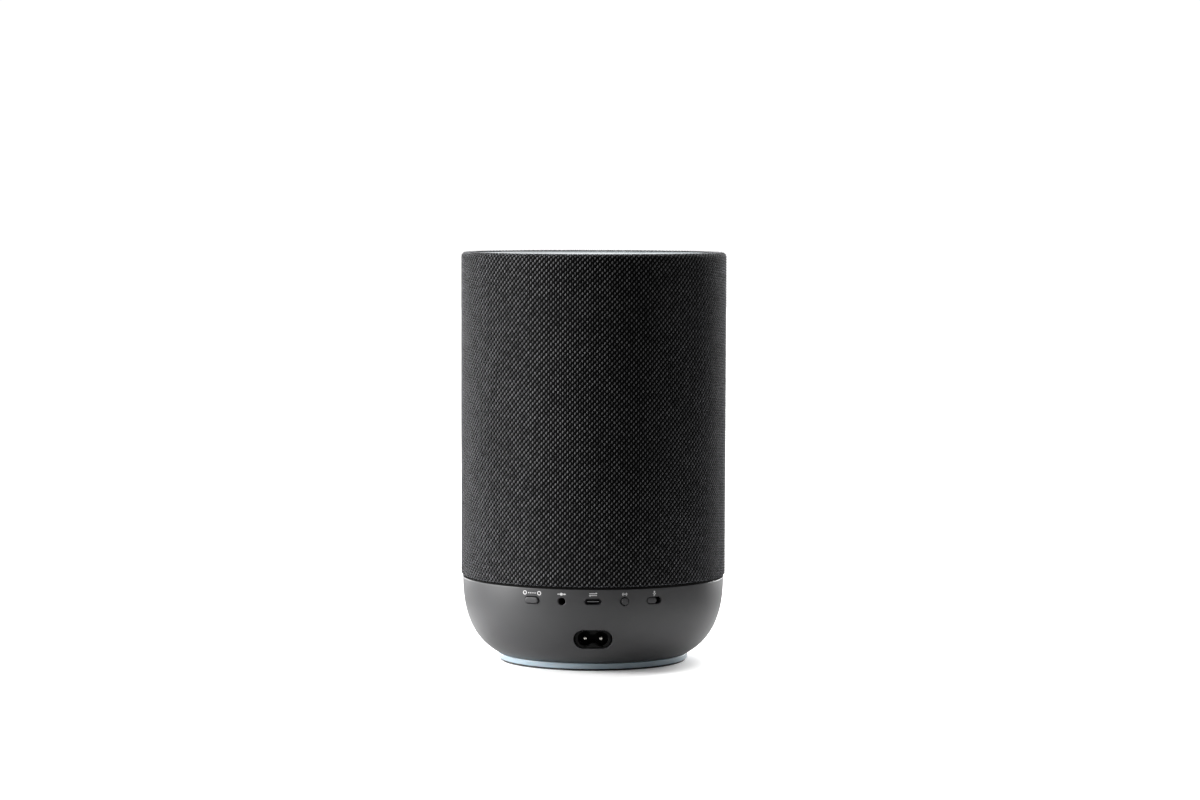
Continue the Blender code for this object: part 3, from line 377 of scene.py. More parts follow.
def board_material():
    """Copper tracks under green lacquer. Each lane of a fine grid is cut into lengths that are
    there or not by chance, with lanes along the board in some patches and across in others,
    and round tinned pads stand on a coarser grid, also by chance."""
    material, tree, shader = new_material("green_board", Roughness=0.32, Coat_Weight=0.2)
    x, y = parts_of(tree, object_place(tree))[:2]
    lane, run, patch, grid = 0.8 * MM, 7 * MM, (11 * MM, 9 * MM), 2.5 * MM
    lacquer, over_track, tin = (0.006, 0.055, 0.024), (0.012, 0.13, 0.05), (0.55, 0.54, 0.5)

    def present(a, pitch_a, b, pitch_b, missing):
        """One in the cells of a grid that are there, nought in the missing share of them."""
        i, j = (calc(tree, "FLOOR", calc(tree, "DIVIDE", *k)) for k in ((a, pitch_a), (b, pitch_b)))
        return calc(tree, "GREATER_THAN", chance(tree, i, j), missing)

    tracks = [
        calc(tree, "MULTIPLY", lines(tree, a, lane, 0.4), present(a, lane, b, run, 0.45))
        for a, b in ((x, y), (y, x))
    ]
    turned = present(x, patch[0], y, patch[1], 0.5)
    track = node(tree, "ShaderNodeMix", turned, None, *tracks, data_type="FLOAT").outputs[0]
    off = [calc(tree, "SUBTRACT", part_of(tree, a, grid), 0.5) for a in (x, y)]
    reach = calc(tree, "SQRT", calc(tree, "ADD", *(calc(tree, "MULTIPLY", a, a) for a in off)))
    round_spot = calc(tree, "LESS_THAN", reach, 0.27)
    pad = calc(tree, "MULTIPLY", round_spot, present(x, grid, y, grid, 0.72))
    tone = blend(tree, pad, blend(tree, track, lacquer, over_track), tin)
    feed(tree, shader, Base_Color=tone, Metallic=calc(tree, "MULTIPLY", pad, 0.9))
    bump(tree, shader, calc(tree, "MAXIMUM", track, pad), 0.035)
    return material


circuit_board = board_material()
dress(black_plastic, "bottom_cover")
dress(steel, "cover_screw_1", "cover_screw_2", "cover_screw_3", "cover_screw_4")
dress(circuit_board, "led_board")


# ---- Tub ----------------------------------------------------------------------------------
# The base is one deep moulding in dark grey satin plastic. Its wall curves in from under the
# cloth to the light ring, and the panel's openings are moulded through it with soft edges.
tub_low, tub_high = in_mm("base_tub")
tub_bottom, seam_level = tub_low.z, tub_high.z
TUB_RADIUS, TUB_THICKNESS, TUB_EDGE = 72.05, 2.5, 0.2
TUB_CURVE = np.array(
    [(TUB_RADIUS, seam_level), (TUB_RADIUS, 25.13), (65.93, 11.5), (52.3, tub_bottom)]
)


def tub_side(t):
    """The tub's outer profile as (radius, level): a cubic curve through four control points,
    from the seam at t = 0 to the ring at t = 1."""
    s = 1 - t
    weights = np.stack([s**3, 3 * s**2 * t, 3 * s * t**2, t**3], axis=-1)
    return weights @ TUB_CURVE


def tub_radius(level):
    """Radius of the tub's outer face at a level."""
    side = tub_side(np.linspace(1, 0, 400))
    return np.interp(level, side[:, 1], side[:, 0])


def arc_points(across, up, radius, start, end, steps=7):
    """Points along an arc, between two angles in degrees about its centre."""
    angle = np.radians(np.linspace(start, end, steps))
    return np.stack([across + radius * np.cos(angle), up + radius * np.sin(angle)], axis=-1)


def tub_profile():
    """Closed profile of the tub's wall: up the outside, over a rounded top edge and a groove
    for the black strip of painted seam shade, and down the inside at one thickness along the
    curve's own normal."""
    top = seam_level - 0.35
    outside = tub_side(np.linspace(1, 0.016, 64))
    along = np.gradient(outside, axis=0)
    along /= np.linalg.norm(along, axis=1, keepdims=True)
    inside = outside + TUB_THICKNESS * np.stack([-along[:, 1], along[:, 0]], axis=-1)
    inside = inside[inside[:, 0] > 50.5][::-1]
    edge = arc_points(TUB_RADIUS - TUB_EDGE, top - TUB_EDGE, TUB_EDGE, 0, 90, 6)
    groove_floor = top - 1.5
    groove = [(71.3, top - 0.1), (71.1, groove_floor), (70.3, groove_floor), (70.1, seam_level)]
    inner_lip = (69.55, seam_level)
    floor_lip = [(45.8, inside[-1, 1]), (45.8, tub_bottom)]
    return np.concatenate([outside, edge, groove, [inner_lip], inside[3:], floor_lip])


def outline(length, width, arc=16, straight=8):
    """A slot's outline as (centres, directions): each of its points is a centre plus a
    direction times half the width. Two half circles are joined by straight runs, and a slot as
    long as it is wide is a circle."""
    half = (length - width) / 2
    if half == 0:
        angle = np.linspace(0, 2 * math.pi, 3 * arc, endpoint=False)
        centres = np.zeros((len(angle), 2))
    else:
        bend = np.linspace(-math.pi / 2, math.pi / 2, arc + 1)
        run = np.full(straight - 1, math.pi / 2)
        angle = np.concatenate([bend, run, bend + math.pi, run + math.pi])
        reach = np.linspace(half, -half, straight + 1)[1:-1]
        ends = np.full(arc + 1, half)
        x = np.concatenate([ends, reach, -ends, -reach])
        centres = np.stack([x, 0 * x], axis=-1)
    return centres, np.stack([np.cos(angle), np.sin(angle)], axis=-1)


def on_panel(angle, level, x, y, depth):
    """A point of the panel in the speaker's own axes. The angle turns from the back towards
    +X, x runs across to the right as seen from behind, y runs up, and depth is the distance
    from the axis straight out through the middle of the opening."""
    out = np.array([math.sin(angle), math.cos(angle)])
    right = np.array([-math.cos(angle), math.sin(angle)])
    flat = depth[..., None] * out + x[..., None] * right
    return np.concatenate([flat, (level + y)[..., None]], axis=-1)


def skin_depth(level, x, y):
    """Depth at which a point of the panel lies on the tub's outer face: the side of a right
    angle whose other side is x and whose long side is the tub's radius at that height."""
    return np.sqrt(tub_radius(level + y) ** 2 - x**2)


def mouth(name, angle, level, length, width, edge, reach=6.0):
    """The shape cut away by an opening with a rounded edge: its outline spreads by a quarter
    circle as it nears the tub's outer face, and it runs straight beyond."""
    centres, directions = outline(length, width)
    turn = np.radians([15, 30, 50, 70, 90])
    grow = np.concatenate([1 - np.sin(turn[:1]), 1 - np.sin(turn), [0, 0]]) * edge
    lift = np.concatenate([[3.0], -edge * (1 - np.cos(turn)), [-edge - 0.5, -reach]])
    shape = centres + directions * (width / 2 + grow[:, None, None])
    x, y = shape[..., 0], shape[..., 1]
    depth = skin_depth(level, x, y) + lift[:, None]
    points = on_panel(angle, level, x, y, depth)[::-1]
    faces = grid_faces(*points.shape[:2]).tolist()
    around, count = points.shape[1], points.shape[0] * points.shape[1]
    faces += [list(range(around))[::-1], list(range(count - around, count))]
    mesh = bpy.data.meshes.new(name)
    mesh.from_pydata((points.reshape(-1, 3) * MM).tolist(), [], faces)
    return place_in_scene(name, mesh)


def carve(piece, tools, operation):
    """Cuts the tools out of a piece, or joins them to it."""
    for tool in tools:
        step = piece.modifiers.new(tool.name, "BOOLEAN")
        step.object = tool
        step.operation = operation
        step.solver = "EXACT"
    shown = piece.evaluated_get(bpy.context.evaluated_depsgraph_get())
    carved = bpy.data.meshes.new_from_object(shown)
    piece.modifiers.clear()
    piece.data = carved
    for tool in tools:
        bpy.data.objects.remove(tool)


PORT_LEVEL, PORT_STEP = seam_level - 6.8, 17.0 / TUB_RADIUS
INLET_LEVEL, inlet_face = tub_bottom + 14.6, in_mm("mains_inlet")[1].y


def inlet_collar(length=23.4, width=13.1, back=2.0, under_skin=1.2):
    """The boss inside the wall that the inlet sits in: a slot's outline that runs from behind
    the inlet's face to just under the tub's outer face, closed at both ends."""
    centres, directions = outline(length, width)
    ring = centres + directions * width / 2
    shape = ring * np.array([0.001, 1, 1, 0.001])[:, None, None]
    x, y = shape[..., 0], shape[..., 1]
    depth = skin_depth(INLET_LEVEL, x, y) - under_skin
    depth[:2] = inlet_face - back
    return lofted("inlet_collar", on_panel(0, INLET_LEVEL, x, y, depth))


def lofted(name, rows):
    """A closed body through rows of points. Its first and last rows are shrunk to a line or a
    point, so that merging closes them."""
    return new_piece(name, rows, grid_faces(*rows.shape[:2]))


opening_sizes = {
    "connect": (2 * PORT_STEP, 8.8, 4.2, 0.25),
    "aux": (PORT_STEP, 4.1, 4.1, 0.3),
    "usb": (0.0, 9.1, 3.45, 0.25),
    "pairing": (-PORT_STEP, 4.7, 4.7, 0.25),
    "mic": (-2 * PORT_STEP, 8.8, 3.9, 0.25),
}
tub = turned_piece("tub", tub_profile(), 256)
carve(tub, [inlet_collar()], "UNION")
openings = [
    mouth(f"{name}_opening", angle, PORT_LEVEL, *sizes)
    for name, (angle, *sizes) in opening_sizes.items()
]
openings.append(mouth("inlet_opening", 0.0, INLET_LEVEL, 20.9, 10.6, 0.45, reach=12.0))
carve(tub, openings, "DIFFERENCE")
smooth(tub.data)
grey_plastic = skinned(
    "grey_satin_plastic",
    (0.0455, 0.0455, 0.0475),
    (0.0515, 0.0515, 0.0535),
    0.42,
    0.07,
    2200.0,
    0.006,
    Specular_IOR_Level=0.5,
)
fit(tub, grey_plastic, "grey_plastic", "base_tub")

# A black foam seal in the seam between the tub and the cloth's hem. Its near-black stands in for
# the seam's shadow: painted shade.
black_foam = skinned(
    "black_foam",
    (0.002, 0.002, 0.002),
    (0.006, 0.006, 0.006),
    0.93,
    0.05,
    900.0,
    0.1,
    Specular_IOR_Level=0.1,
)
shade_seal_low, shade_seal_high = seam_level - 0.45, in_mm("fabric_sleeve")[0].z + 0.75
shade_seal_outer, shade_seal_inner, shade_seal_edge = 71.93, 71.45, 0.05
shade_seal_corners = [
    (shade_seal_outer, shade_seal_low, shade_seal_edge),
    (shade_seal_outer, shade_seal_high, 2 * shade_seal_edge),
    (shade_seal_inner, shade_seal_high, shade_seal_edge),
    (shade_seal_inner, shade_seal_low, shade_seal_edge),
]
shade_seal = turned_piece("seam_seal", rounded(shade_seal_corners, 3))
fit(shade_seal, black_foam, "rubber")


# ---- Mains inlet --------------------------------------------------------------------------
# A two-pin inlet moulded in black thermoset. Its figure-8 cavity is two round wells joined by
# a waist, and two nickelled brass pins with rounded tips stand in the wells.
def stepped(shape, profile, angle, level, x_shift=0.0):
    """Rows of panel points from a profile of (growth, depth) carried round an outline."""
    centres, directions, half = shape
    profile = np.array(profile, float)
    points = centres + directions * (half + profile[:, :1, None])
    x, y = points[..., 0] + x_shift, points[..., 1]
    return on_panel(angle, level, x, y, profile[:, 1:] + 0 * x)


PIN_SPREAD, WELL_RADIUS, WAIST_HALF, WELL_DEPTH = 4.3, 3.8, 2.4, 12.0
BODY_LENGTH, BODY_WIDTH, BODY_EDGE, WELL_LIP = 20.3, 10.0, 0.4, 0.45
inlet_back = in_mm("mains_inlet")[0].y
body_centres, body_directions = outline(BODY_LENGTH, BODY_WIDTH, arc=24, straight=6)
body_outline = body_centres + body_directions * BODY_WIDTH / 2
meet = math.pi - math.asin(WAIST_HALF / WELL_RADIUS)
lobe = np.linspace(-meet, meet, 25)
lobe_x = PIN_SPREAD + WELL_RADIUS * np.cos(lobe)
lobe_y = WELL_RADIUS * np.sin(lobe)
run = np.linspace(lobe_x[-1], -lobe_x[-1], 7)[1:-1]
well_x = np.concatenate([lobe_x, run, -lobe_x, -run])
well_y = np.concatenate([lobe_y, 0 * run + WAIST_HALF, -lobe_y, 0 * run - WAIST_HALF])
well_outline = np.stack([well_x, well_y], axis=-1)
lobe_way = np.stack([np.cos(lobe), np.sin(lobe)], axis=-1)
run_way = np.stack([0 * run, 0 * run + 1], axis=-1)
well_way = np.concatenate([lobe_way, run_way, -lobe_way, -run_way])
EDGE_TURN = np.radians([0, 22, 45, 68, 90])
shape, depths = [body_outline * 0.002, body_outline], [inlet_back] * 2
for cosine, sine in zip(np.cos(EDGE_TURN), np.sin(EDGE_TURN)):
    shape.append(body_outline * (1 - BODY_EDGE * (1 - cosine) / (BODY_WIDTH / 2)))
    depths.append(inlet_face - BODY_EDGE * (1 - sine))
for cosine, sine in zip(np.cos(EDGE_TURN), np.sin(EDGE_TURN)):
    shape.append(well_outline + well_way * WELL_LIP * (1 - sine))
    depths.append(inlet_face - WELL_LIP * (1 - cosine))
shape += [well_outline, well_outline * 0.002]
depths += [inlet_face - WELL_DEPTH] * 2
x, y = np.moveaxis(np.stack(shape), -1, 0)
depth = np.array(depths)[:, None] + 0 * x
inlet = lofted("mains_socket", on_panel(0, INLET_LEVEL, x, y, depth))
inlet_black = skinned(
    "black_thermoset",
    (0.003, 0.003, 0.003),
    (0.006, 0.006, 0.006),
    0.6,
    0.08,
    2400.0,
    0.008,
    Specular_IOR_Level=0.2,
)
fit(inlet, inlet_black, "black_plastic", "mains_inlet")

plated_brass = drawn_metal(
    "nickelled_brass", (0.72, 0.69, 0.62), (0.85, 0.83, 0.78), 0.22, 0.1, (2500, 300, 2500), 0.004
)
pin_low, pin_high = in_mm("inlet_pin_left")
pin_radius, tip_length = 1.2, 0.9
pin_profile = [(-pin_radius, pin_low.y), (0, pin_low.y)]
for turn in np.radians(np.linspace(0, 84, 7)):
    tip = pin_high.y - tip_length * (1 - math.sin(turn))
    pin_profile.append((-pin_radius * (1 - math.cos(turn)), tip))
pin_profile.append((-pin_radius, pin_high.y))
round_shape = (*outline(1.0, 1.0), pin_radius)
for side, x in (("left", -PIN_SPREAD), ("right", PIN_SPREAD)):
    pin = lofted(f"mains_pin_{side}", stepped(round_shape, pin_profile, 0, INLET_LEVEL, x))
    fit(pin, plated_brass, "plated_brass", f"inlet_pin_{side}")


# ---- Data socket and audio jack ------------------------------------------------------------
# The data socket is a rolled shell of dark plated steel round a thin tongue that carries the
# contacts. The audio jack is a black moulded barrel behind its hole in the tub.
dark_metal = drawn_metal(
    "dark_plated_steel", (0.07, 0.07, 0.075), (0.11, 0.11, 0.115), 0.34, 0.08, (900, 900, 90), 0.003
)
usb_low, usb_high = in_mm("usb_shell")
shell_half, shell_wall, shell_floor = 1.6, 0.3, 1.0
shell_rows = [(-shell_half, usb_low.y), (0, usb_low.y)]
for share, back in ((0, 0.15), (0.2, 0.03), (0.5, 0), (0.8, 0.03), (1, 0.15)):
    shell_rows.append((-shell_wall * share, usb_high.y - back))
shell_rows += [(-inset, usb_low.y + shell_floor) for inset in (shell_wall, shell_half)]
shell_shape = (*outline(8.9, 2 * shell_half), shell_half)
shell = lofted("data_socket_shell", stepped(shell_shape, shell_rows, 0, PORT_LEVEL))
fit(shell, dark_metal, "dark_metal", "usb_shell")

tongue_low, tongue_high = in_mm("usb_tongue")
tongue_half, plate_half, plate_length = 0.35, 0.18, 4.0
front = tongue_high.y
tongue_rows = [(-tongue_half, tongue_low.y), (0, tongue_low.y), (0, front - 0.12)]
tongue_rows += [(-0.12, front), (-tongue_half, front)]
tongue_shape = (*outline(6.7, 2 * tongue_half, arc=6), tongue_half)
tongue = lofted("data_socket_tongue", stepped(tongue_shape, tongue_rows, 0, PORT_LEVEL))
fit(tongue, black_plastic, "black_plastic", "usb_tongue")
plate_rows = [(-plate_half, front - plate_length), (0, front - plate_length), (0, front + 0.05)]
plate_rows += [(-0.06, front + 0.12), (-plate_half, front + 0.12)]
plate_shape = (*outline(6.3, 2 * plate_half, arc=6), plate_half)
mid_plate = lofted("data_socket_mid_plate", stepped(plate_shape, plate_rows, 0, PORT_LEVEL))
fit(mid_plate, steel, "steel")

jack_front = tub_radius(PORT_LEVEL) - 2.9
bore_radius, barrel_wall, barrel_length, bore_depth = 1.8, 1.2, 12, 10
jack_rows = [(-bore_radius, jack_front - barrel_length), (barrel_wall, jack_front - barrel_length)]
jack_rows += [(barrel_wall, jack_front - 0.2), (barrel_wall - 0.2, jack_front)]
jack_rows += [(0.35, jack_front), (0, jack_front - 0.35)]
jack_rows += [(0, jack_front - bore_depth), (-bore_radius, jack_front - bore_depth)]
jack_shape = (*outline(2 * bore_radius, 2 * bore_radius), bore_radius)
jack = lofted("audio_jack", stepped(jack_shape, jack_rows, PORT_STEP, PORT_LEVEL))
fit(jack, black_plastic, "black_plastic", "aux_jack")


# ---- Controls -----------------------------------------------------------------------------
# Two push buttons and a sliding switch, moulded in the tub's own plastic. Each cap has a soft
# edge and a slightly domed face, and a skirt behind the wall keeps it in.
def cap_rows(half, skirt, cap_face, skirt_depth=1.4, edge=0.3, dome=0.06):
    """Profile of a control from its back to the middle of its face: the skirt, the side, a
    quarter-circle edge, and a dome that rises as the square of the way in."""
    front, back = jack_front, jack_front - skirt_depth
    rows = [(-half, back), (skirt, back), (skirt, front), (0, front)]
    rows += [(-edge * (1 - math.cos(a)), cap_face - edge * (1 - math.sin(a))) for a in EDGE_TURN]
    inward = np.linspace(edge, half, 5)[1:]
    rows += [(-step, cap_face + dome * (1 - (1 - step / half) ** 2)) for step in inward]
    return rows


# Each control's place round the panel, length, width, skirt, shift along the panel, face and body.
controls = {
    "connect": (2 * PORT_STEP, 7.7, 3.2, 0.7, -0.2, 72.4, "connect_button"),
    "pairing": (-PORT_STEP, 3.7, 3.7, 0.7, 0.2, 72.4, "pairing_button"),
    "mic": (-2 * PORT_STEP, 5.6, 3.1, -0.5, -1.2, 71.7, "mic_slider"),
}
for name, (angle, length, width, skirt, shift, face, body) in controls.items():
    shape = (*outline(length, width), width / 2)
    rows = stepped(shape, cap_rows(width / 2, skirt, face), angle, PORT_LEVEL, shift)
    cap = lofted(f"{name}_cap", rows)
    fit(cap, grey_plastic, "grey_plastic", body, body=body)
dress(black_plastic, "connect_plunger", "pairing_plunger", "mic_switch_lever")
dress(black_plastic, "connect_switch", "pairing_switch", "mic_switch")


# ---- Printed marks ------------------------------------------------------------------------
# Small pictograms pad-printed in pale ink above each opening: two linked points, a plug, two
# opposite arrows, a point sending waves, and a microphone.
def stroke(path, width, closed=False, ink=0.03):
    """A printed line: points along a path, moved half a width to each side along its normal,
    on the tub's face and one ink thickness above it. Open lines narrow to nothing in a half
    circle at each end."""
    path = np.array(path, float)
    if closed:
        ahead = np.roll(path, -1, axis=0) - np.roll(path, 1, axis=0)
        half = np.full(len(path), width / 2)
    else:
        steps = np.linalg.norm(np.diff(path, axis=0), axis=1)
        run = np.concatenate([[0], np.cumsum(steps)])
        cap = width / 2 * (1 - np.cos(np.linspace(0, math.pi / 2, 6)))
        inner = np.linspace(width / 2, run[-1] - width / 2, max(2, 4 * len(path)))
        inner = inner if run[-1] > width else np.array([run[-1] / 2])
        at = np.concatenate([cap[:-1], inner, run[-1] - cap[-2::-1]])
        near = np.minimum(np.minimum(at, run[-1] - at), width / 2)
        half = np.sqrt(np.maximum((width / 2) ** 2 - (width / 2 - near) ** 2, 0))
        path = np.stack([np.interp(at, run, path[:, k]) for k in (0, 1)], axis=-1)
        ahead = np.gradient(path, axis=0)
    ahead /= np.linalg.norm(ahead, axis=1, keepdims=True)
    side = np.stack([-ahead[:, 1], ahead[:, 0]], axis=-1) * half[:, None]
    flat = np.stack([path - side, path + side, path + side, path - side], axis=1)
    lift = np.array([ink, ink, -ink, -ink]) + 0 * flat[..., 0]
    return flat, lift, closed


def dot(x, y, size):
    return stroke([(x - size / 2, y), (x + size / 2, y)], size)


def pictogram(name, angle, level, strokes):
    """Strokes laid on the tub's face round one place of the panel, joined as one piece."""
    points, faces, count = [], [], 0
    for flat, lift, closed in strokes:
        x, y = flat[..., 0], flat[..., 1]
        points.append(on_panel(angle, level, x, y, skin_depth(level, x, y) + lift).reshape(-1, 3))
        faces.append(grid_faces(len(flat), 4, along=closed) + count)
        count += 4 * len(flat)
    mark = new_piece(name, np.concatenate(points), np.concatenate(faces))
    fit(mark, pale_ink, "pale_plastic")


pale_ink = skinned(
    "pale_ink", (0.62, 0.62, 0.62), (0.78, 0.78, 0.78), 0.55, 0.1, 4000.0, 0.004, 900.0
)
MARK_LEVEL, FINE, MEDIUM, WAVE_HALF = 43.8, 0.3, 0.34, 42
link = [stroke(arc_points(side * 4.3, 0, 0.95, 0, 342, 20), 0.42, True) for side in (-1, 1)]
link += [dot(x, 0, 0.62) for x in (-1.9, -0.65, 0.65, 1.9)]
pictogram("connect_mark", 2 * PORT_STEP, MARK_LEVEL, link)
plug = [stroke([(-2.3, 0), (-0.9, 0)], 0.4), stroke([(-0.9, 0), (0.7, 0)], 1.5)]
plug += [stroke([(0.9, 0), (2.0, 0)], 0.75), dot(2.15, 0, 0.5)]
pictogram("audio_mark", PORT_STEP, MARK_LEVEL, plug)
arrows = []
for side in (-1, 1):
    y = side * 0.48
    barb = [(1.35 * side, y + side * 0.5), (2.1 * side, y), (1.6 * side, y)]
    arrows += [stroke([(-2.1 * side, y), (2.0 * side, y)], MEDIUM), stroke(barb, MEDIUM)]
pictogram("data_mark", 0.0, MARK_LEVEL, arrows)
waves = [dot(0, 0, 0.62)]
for side in (0, 180):
    for radius, steps in ((0.72, 8), (1.2, 10)):
        wave = arc_points(0, 0, radius, side - WAVE_HALF, side + WAVE_HALF, steps)
        waves.append(stroke(wave, FINE))
pictogram("pairing_mark", -PORT_STEP, MARK_LEVEL, waves)
microphone = [stroke([(0, 1.25), (0, 0.05)], 0.8)]
microphone += [stroke(arc_points(0, 0.25, 0.8, 190, 350, 12), FINE)]
microphone += [stroke([(0, -0.6), (0, -1.3)], FINE), stroke([(-0.5, -1.25), (0.5, -1.25)], FINE)]
pictogram("microphone_mark", -2 * PORT_STEP, MARK_LEVEL, microphone)


# ---- Electronics --------------------------------------------------------------------------
# The mains supply is on the lower board, with its transformer wound in enamelled copper and a
# sleeved capacitor. The main board above carries a plated shield and an extruded heat sink.
def ridged(name, colour, second_colour, axis, pitch_mm, depth_mm, gloss, **sockets):
    """Wound wire or a fine woven or rolled surface: round ridges side by side along an axis,
    as the root of one less the square of the way from each ridge's middle. The first colour
    tops the ridges and the second fills the grooves between them: painted shade in the grooves."""
    material, tree, shader = new_material(name, Roughness=gloss, **sockets)
    place = object_place(tree)
    split = parts_of(tree, place)
    height = None
    for way in axis:
        centred = calc(tree, "MULTIPLY_ADD", part_of(tree, split[way], pitch_mm * MM), 2.0, -1.0)
        square = calc(tree, "MULTIPLY", centred, centred)
        ridge = calc(tree, "SQRT", calc(tree, "SUBTRACT", 1.0, square))
        height = ridge if height is None else calc(tree, "MULTIPLY", height, ridge)
    patchy = calc(tree, "MULTIPLY_ADD", noise(tree, place, 300.0), 0.8, 0.4)
    # Bright on the ridges' tops and dark in the grooves between them, in slow patches: painted
    # shade in the grooves.
    tone = calc(tree, "MULTIPLY", height, patchy, clamp=True)
    feed(tree, shader, Base_Color=blend(tree, tone, second_colour, colour))
    bump(tree, shader, height, depth_mm)
    return material


transformer_winding = ridged(
    "enamelled_winding", (0.55, 0.22, 0.08), (0.12, 0.035, 0.012), "Z", 0.7, 0.2, 0.3, Metallic=0.6
)
heat_sink_metal = drawn_metal(
    "extruded_aluminium", (0.62, 0.62, 0.64), (0.76, 0.76, 0.78), 0.36, 0.1, (1600, 60, 1600), 0.006
)
lead_sleeve = skinned(
    "lead_insulation", (0.12, 0.04, 0.02), (0.16, 0.055, 0.03), 0.35, 0.08, 1800.0, 0.006
)


def can_material():
    """A shrunk plastic sleeve on a rolled can: bare metal on its top, a pale stripe with a row
    of dashes down one side, and faint creases from the shrinking."""
    low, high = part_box("power_capacitor")
    stripe_width, dash_pitch, dash_half = 1.6 * MM, 4 * MM, 0.5 * MM
    sleeve_black, stripe_grey, bare = (0.012, 0.014, 0.03), (0.5, 0.52, 0.56), (0.7, 0.7, 0.72)
    material, tree, shader = new_material("sleeved_can")
    place = object_place(tree)
    x, y, z = parts_of(tree, place)
    stripe = calc(tree, "LESS_THAN", x, low.x + stripe_width)
    middle = calc(tree, "COMPARE", y, (low.y + high.y) / 2, dash_half)
    dash = calc(tree, "MULTIPLY", lines(tree, z, dash_pitch, 0.5), middle)
    pale = calc(tree, "MULTIPLY", stripe, calc(tree, "SUBTRACT", 1.0, dash))
    normal = node(tree, "ShaderNodeNewGeometry").outputs["Normal"]
    top = calc(tree, "GREATER_THAN", parts_of(tree, normal)["Z"], 0.9)
    tone = blend(tree, top, blend(tree, pale, sleeve_black, stripe_grey), bare)
    crease = noise(tree, place, 700.0)
    rough = calc(tree, "MULTIPLY_ADD", crease, 0.2, 0.2)
    feed(tree, shader, Base_Color=tone, Metallic=top, Roughness=rough)
    bump(tree, shader, crease, 0.04)
    return material


dress(circuit_board, "power_board", "main_board")
dress(transformer_winding, "power_transformer")
dress(can_material(), "power_capacitor")
dress(lead_sleeve, "mains_lead_left", "mains_lead_right")
dress(heat_sink_metal, "heat_sink")
dress(steel, "processor_shield")


# ---- Speaker cabinet ----------------------------------------------------------------------
# The deck closes the tub from above, and a sealed cabinet stands on it. Both are black
# mouldings with a coarse spark-eroded grain; a rubber gasket seals the screwed lid.
cabinet_plastic = skinned(
    "grained_black_plastic", (0.012, 0.012, 0.013), (0.022, 0.022, 0.023), 0.62, 0.12, 1100.0, 0.03
)
dress(cabinet_plastic, "deck_plate", "speaker_cabinet", "cabinet_lid")
dress(rubber, "cabinet_gasket", "lead_grommet", "speaker_lead")


# ---- Drivers ------------------------------------------------------------------------------
# A woofer faces the front and a passive radiator the back, each of pressed pulp in a rolled
# rubber edge, with two coated silk domes above the woofer. The woofer's basket is painted steel.
def pulp_material():
    """Pressed fibres: noise drawn out along two slanted ways, dark where the fibres part."""
    material, tree, shader = new_material("pressed_pulp", Specular_IOR_Level=0.25)
    place = object_place(tree)
    fibres = []
    for turn, seed in ((0.5, 0.0), (-0.7, 3.0)):
        shift, turns, drawn_out = (seed,) * 3, (0, turn, 0), (2600, 900, 240)
        mapped = node(tree, "ShaderNodeMapping", place, shift, turns, drawn_out)
        fibres.append(noise(tree, mapped.outputs[0], 1.0, 3.0))
    height = calc(tree, "MAXIMUM", *fibres)
    mask = calc(tree, "MULTIPLY_ADD", height, 3.0, -1.2, clamp=True)
    tone = blend(tree, mask, (0.016, 0.016, 0.016), (0.055, 0.052, 0.048))
    rough = calc(tree, "MULTIPLY_ADD", height, -0.2, 0.92)
    feed(tree, shader, Base_Color=tone, Roughness=rough)
    bump(tree, shader, height, 0.09)
    return material


painted_steel = skinned(
    "black_painted_steel", (0.024, 0.024, 0.024), (0.034, 0.034, 0.034), 0.34, 0.08, 600.0, 0.02
)
coil_wire = ridged(
    "voice_coil_wire", (0.60, 0.27, 0.12), (0.20, 0.07, 0.02), "Y", 0.3, 0.1, 0.3, Metallic=0.8
)
spider_cloth = ridged(
    "treated_cotton", (0.50, 0.35, 0.12), (0.16, 0.10, 0.03), "XZ", 0.5, 0.12, 0.75
)
silk = ridged("coated_silk", (0.075, 0.075, 0.085), (0.03, 0.03, 0.035), "XZ", 0.35, 0.03, 0.45)
pulp = pulp_material()
dress(painted_steel, "woofer_basket")
dress(steel, "woofer_magnet", "tweeter_magnet_left", "tweeter_magnet_right")
dress(coil_wire, "woofer_voice_coil")
dress(spider_cloth, "woofer_spider")
dress(pulp, "woofer_cone", "radiator_diaphragm")
dress(rubber, "woofer_surround", "radiator_surround")
dress(black_plastic, "radiator_frame", "tweeter_frame_left", "tweeter_frame_right")
dress(silk, "tweeter_dome_left", "tweeter_dome_right")


# ---- Cloth sleeve -------------------------------------------------------------------------
# A tube of coarse plain-weave cloth, grey marled warp over black weft, pulled tight over the
# grille frame. It is turned under at the hem and over the top edge, and its rows run slightly
# downhill to the right as seen from behind.
COLUMNS, ROW_PITCH, ROWS_DOWN = 348, 1.49, 26
cloth_low, cloth_high = in_mm("fabric_sleeve")
cloth_radius, hem, rim = cloth_high.x, cloth_low.z + 0.35, cloth_high.z + 0.5
fold, top_edge, mouth_radius = 0.6, 2.6, 66.7
cloth_path = np.concatenate(
    [
        [(cloth_radius - 2 * fold, hem + 2.8)],
        arc_points(cloth_radius - fold, hem + fold, fold, 180, 360),
        arc_points(cloth_radius - top_edge, rim - top_edge, top_edge, 0, 90, 13),
        arc_points(mouth_radius + fold, rim - fold, fold, 90, 180),
        [(mouth_radius, rim - 2.2)],
    ]
)
path_steps = np.linalg.norm(np.diff(cloth_path, axis=0), axis=1)
path_run = np.concatenate([[0], np.cumsum(path_steps)])
cloth_length = path_run[-1]
ROWS = int(math.ceil(cloth_length / ROW_PITCH)) + ROWS_DOWN + 2


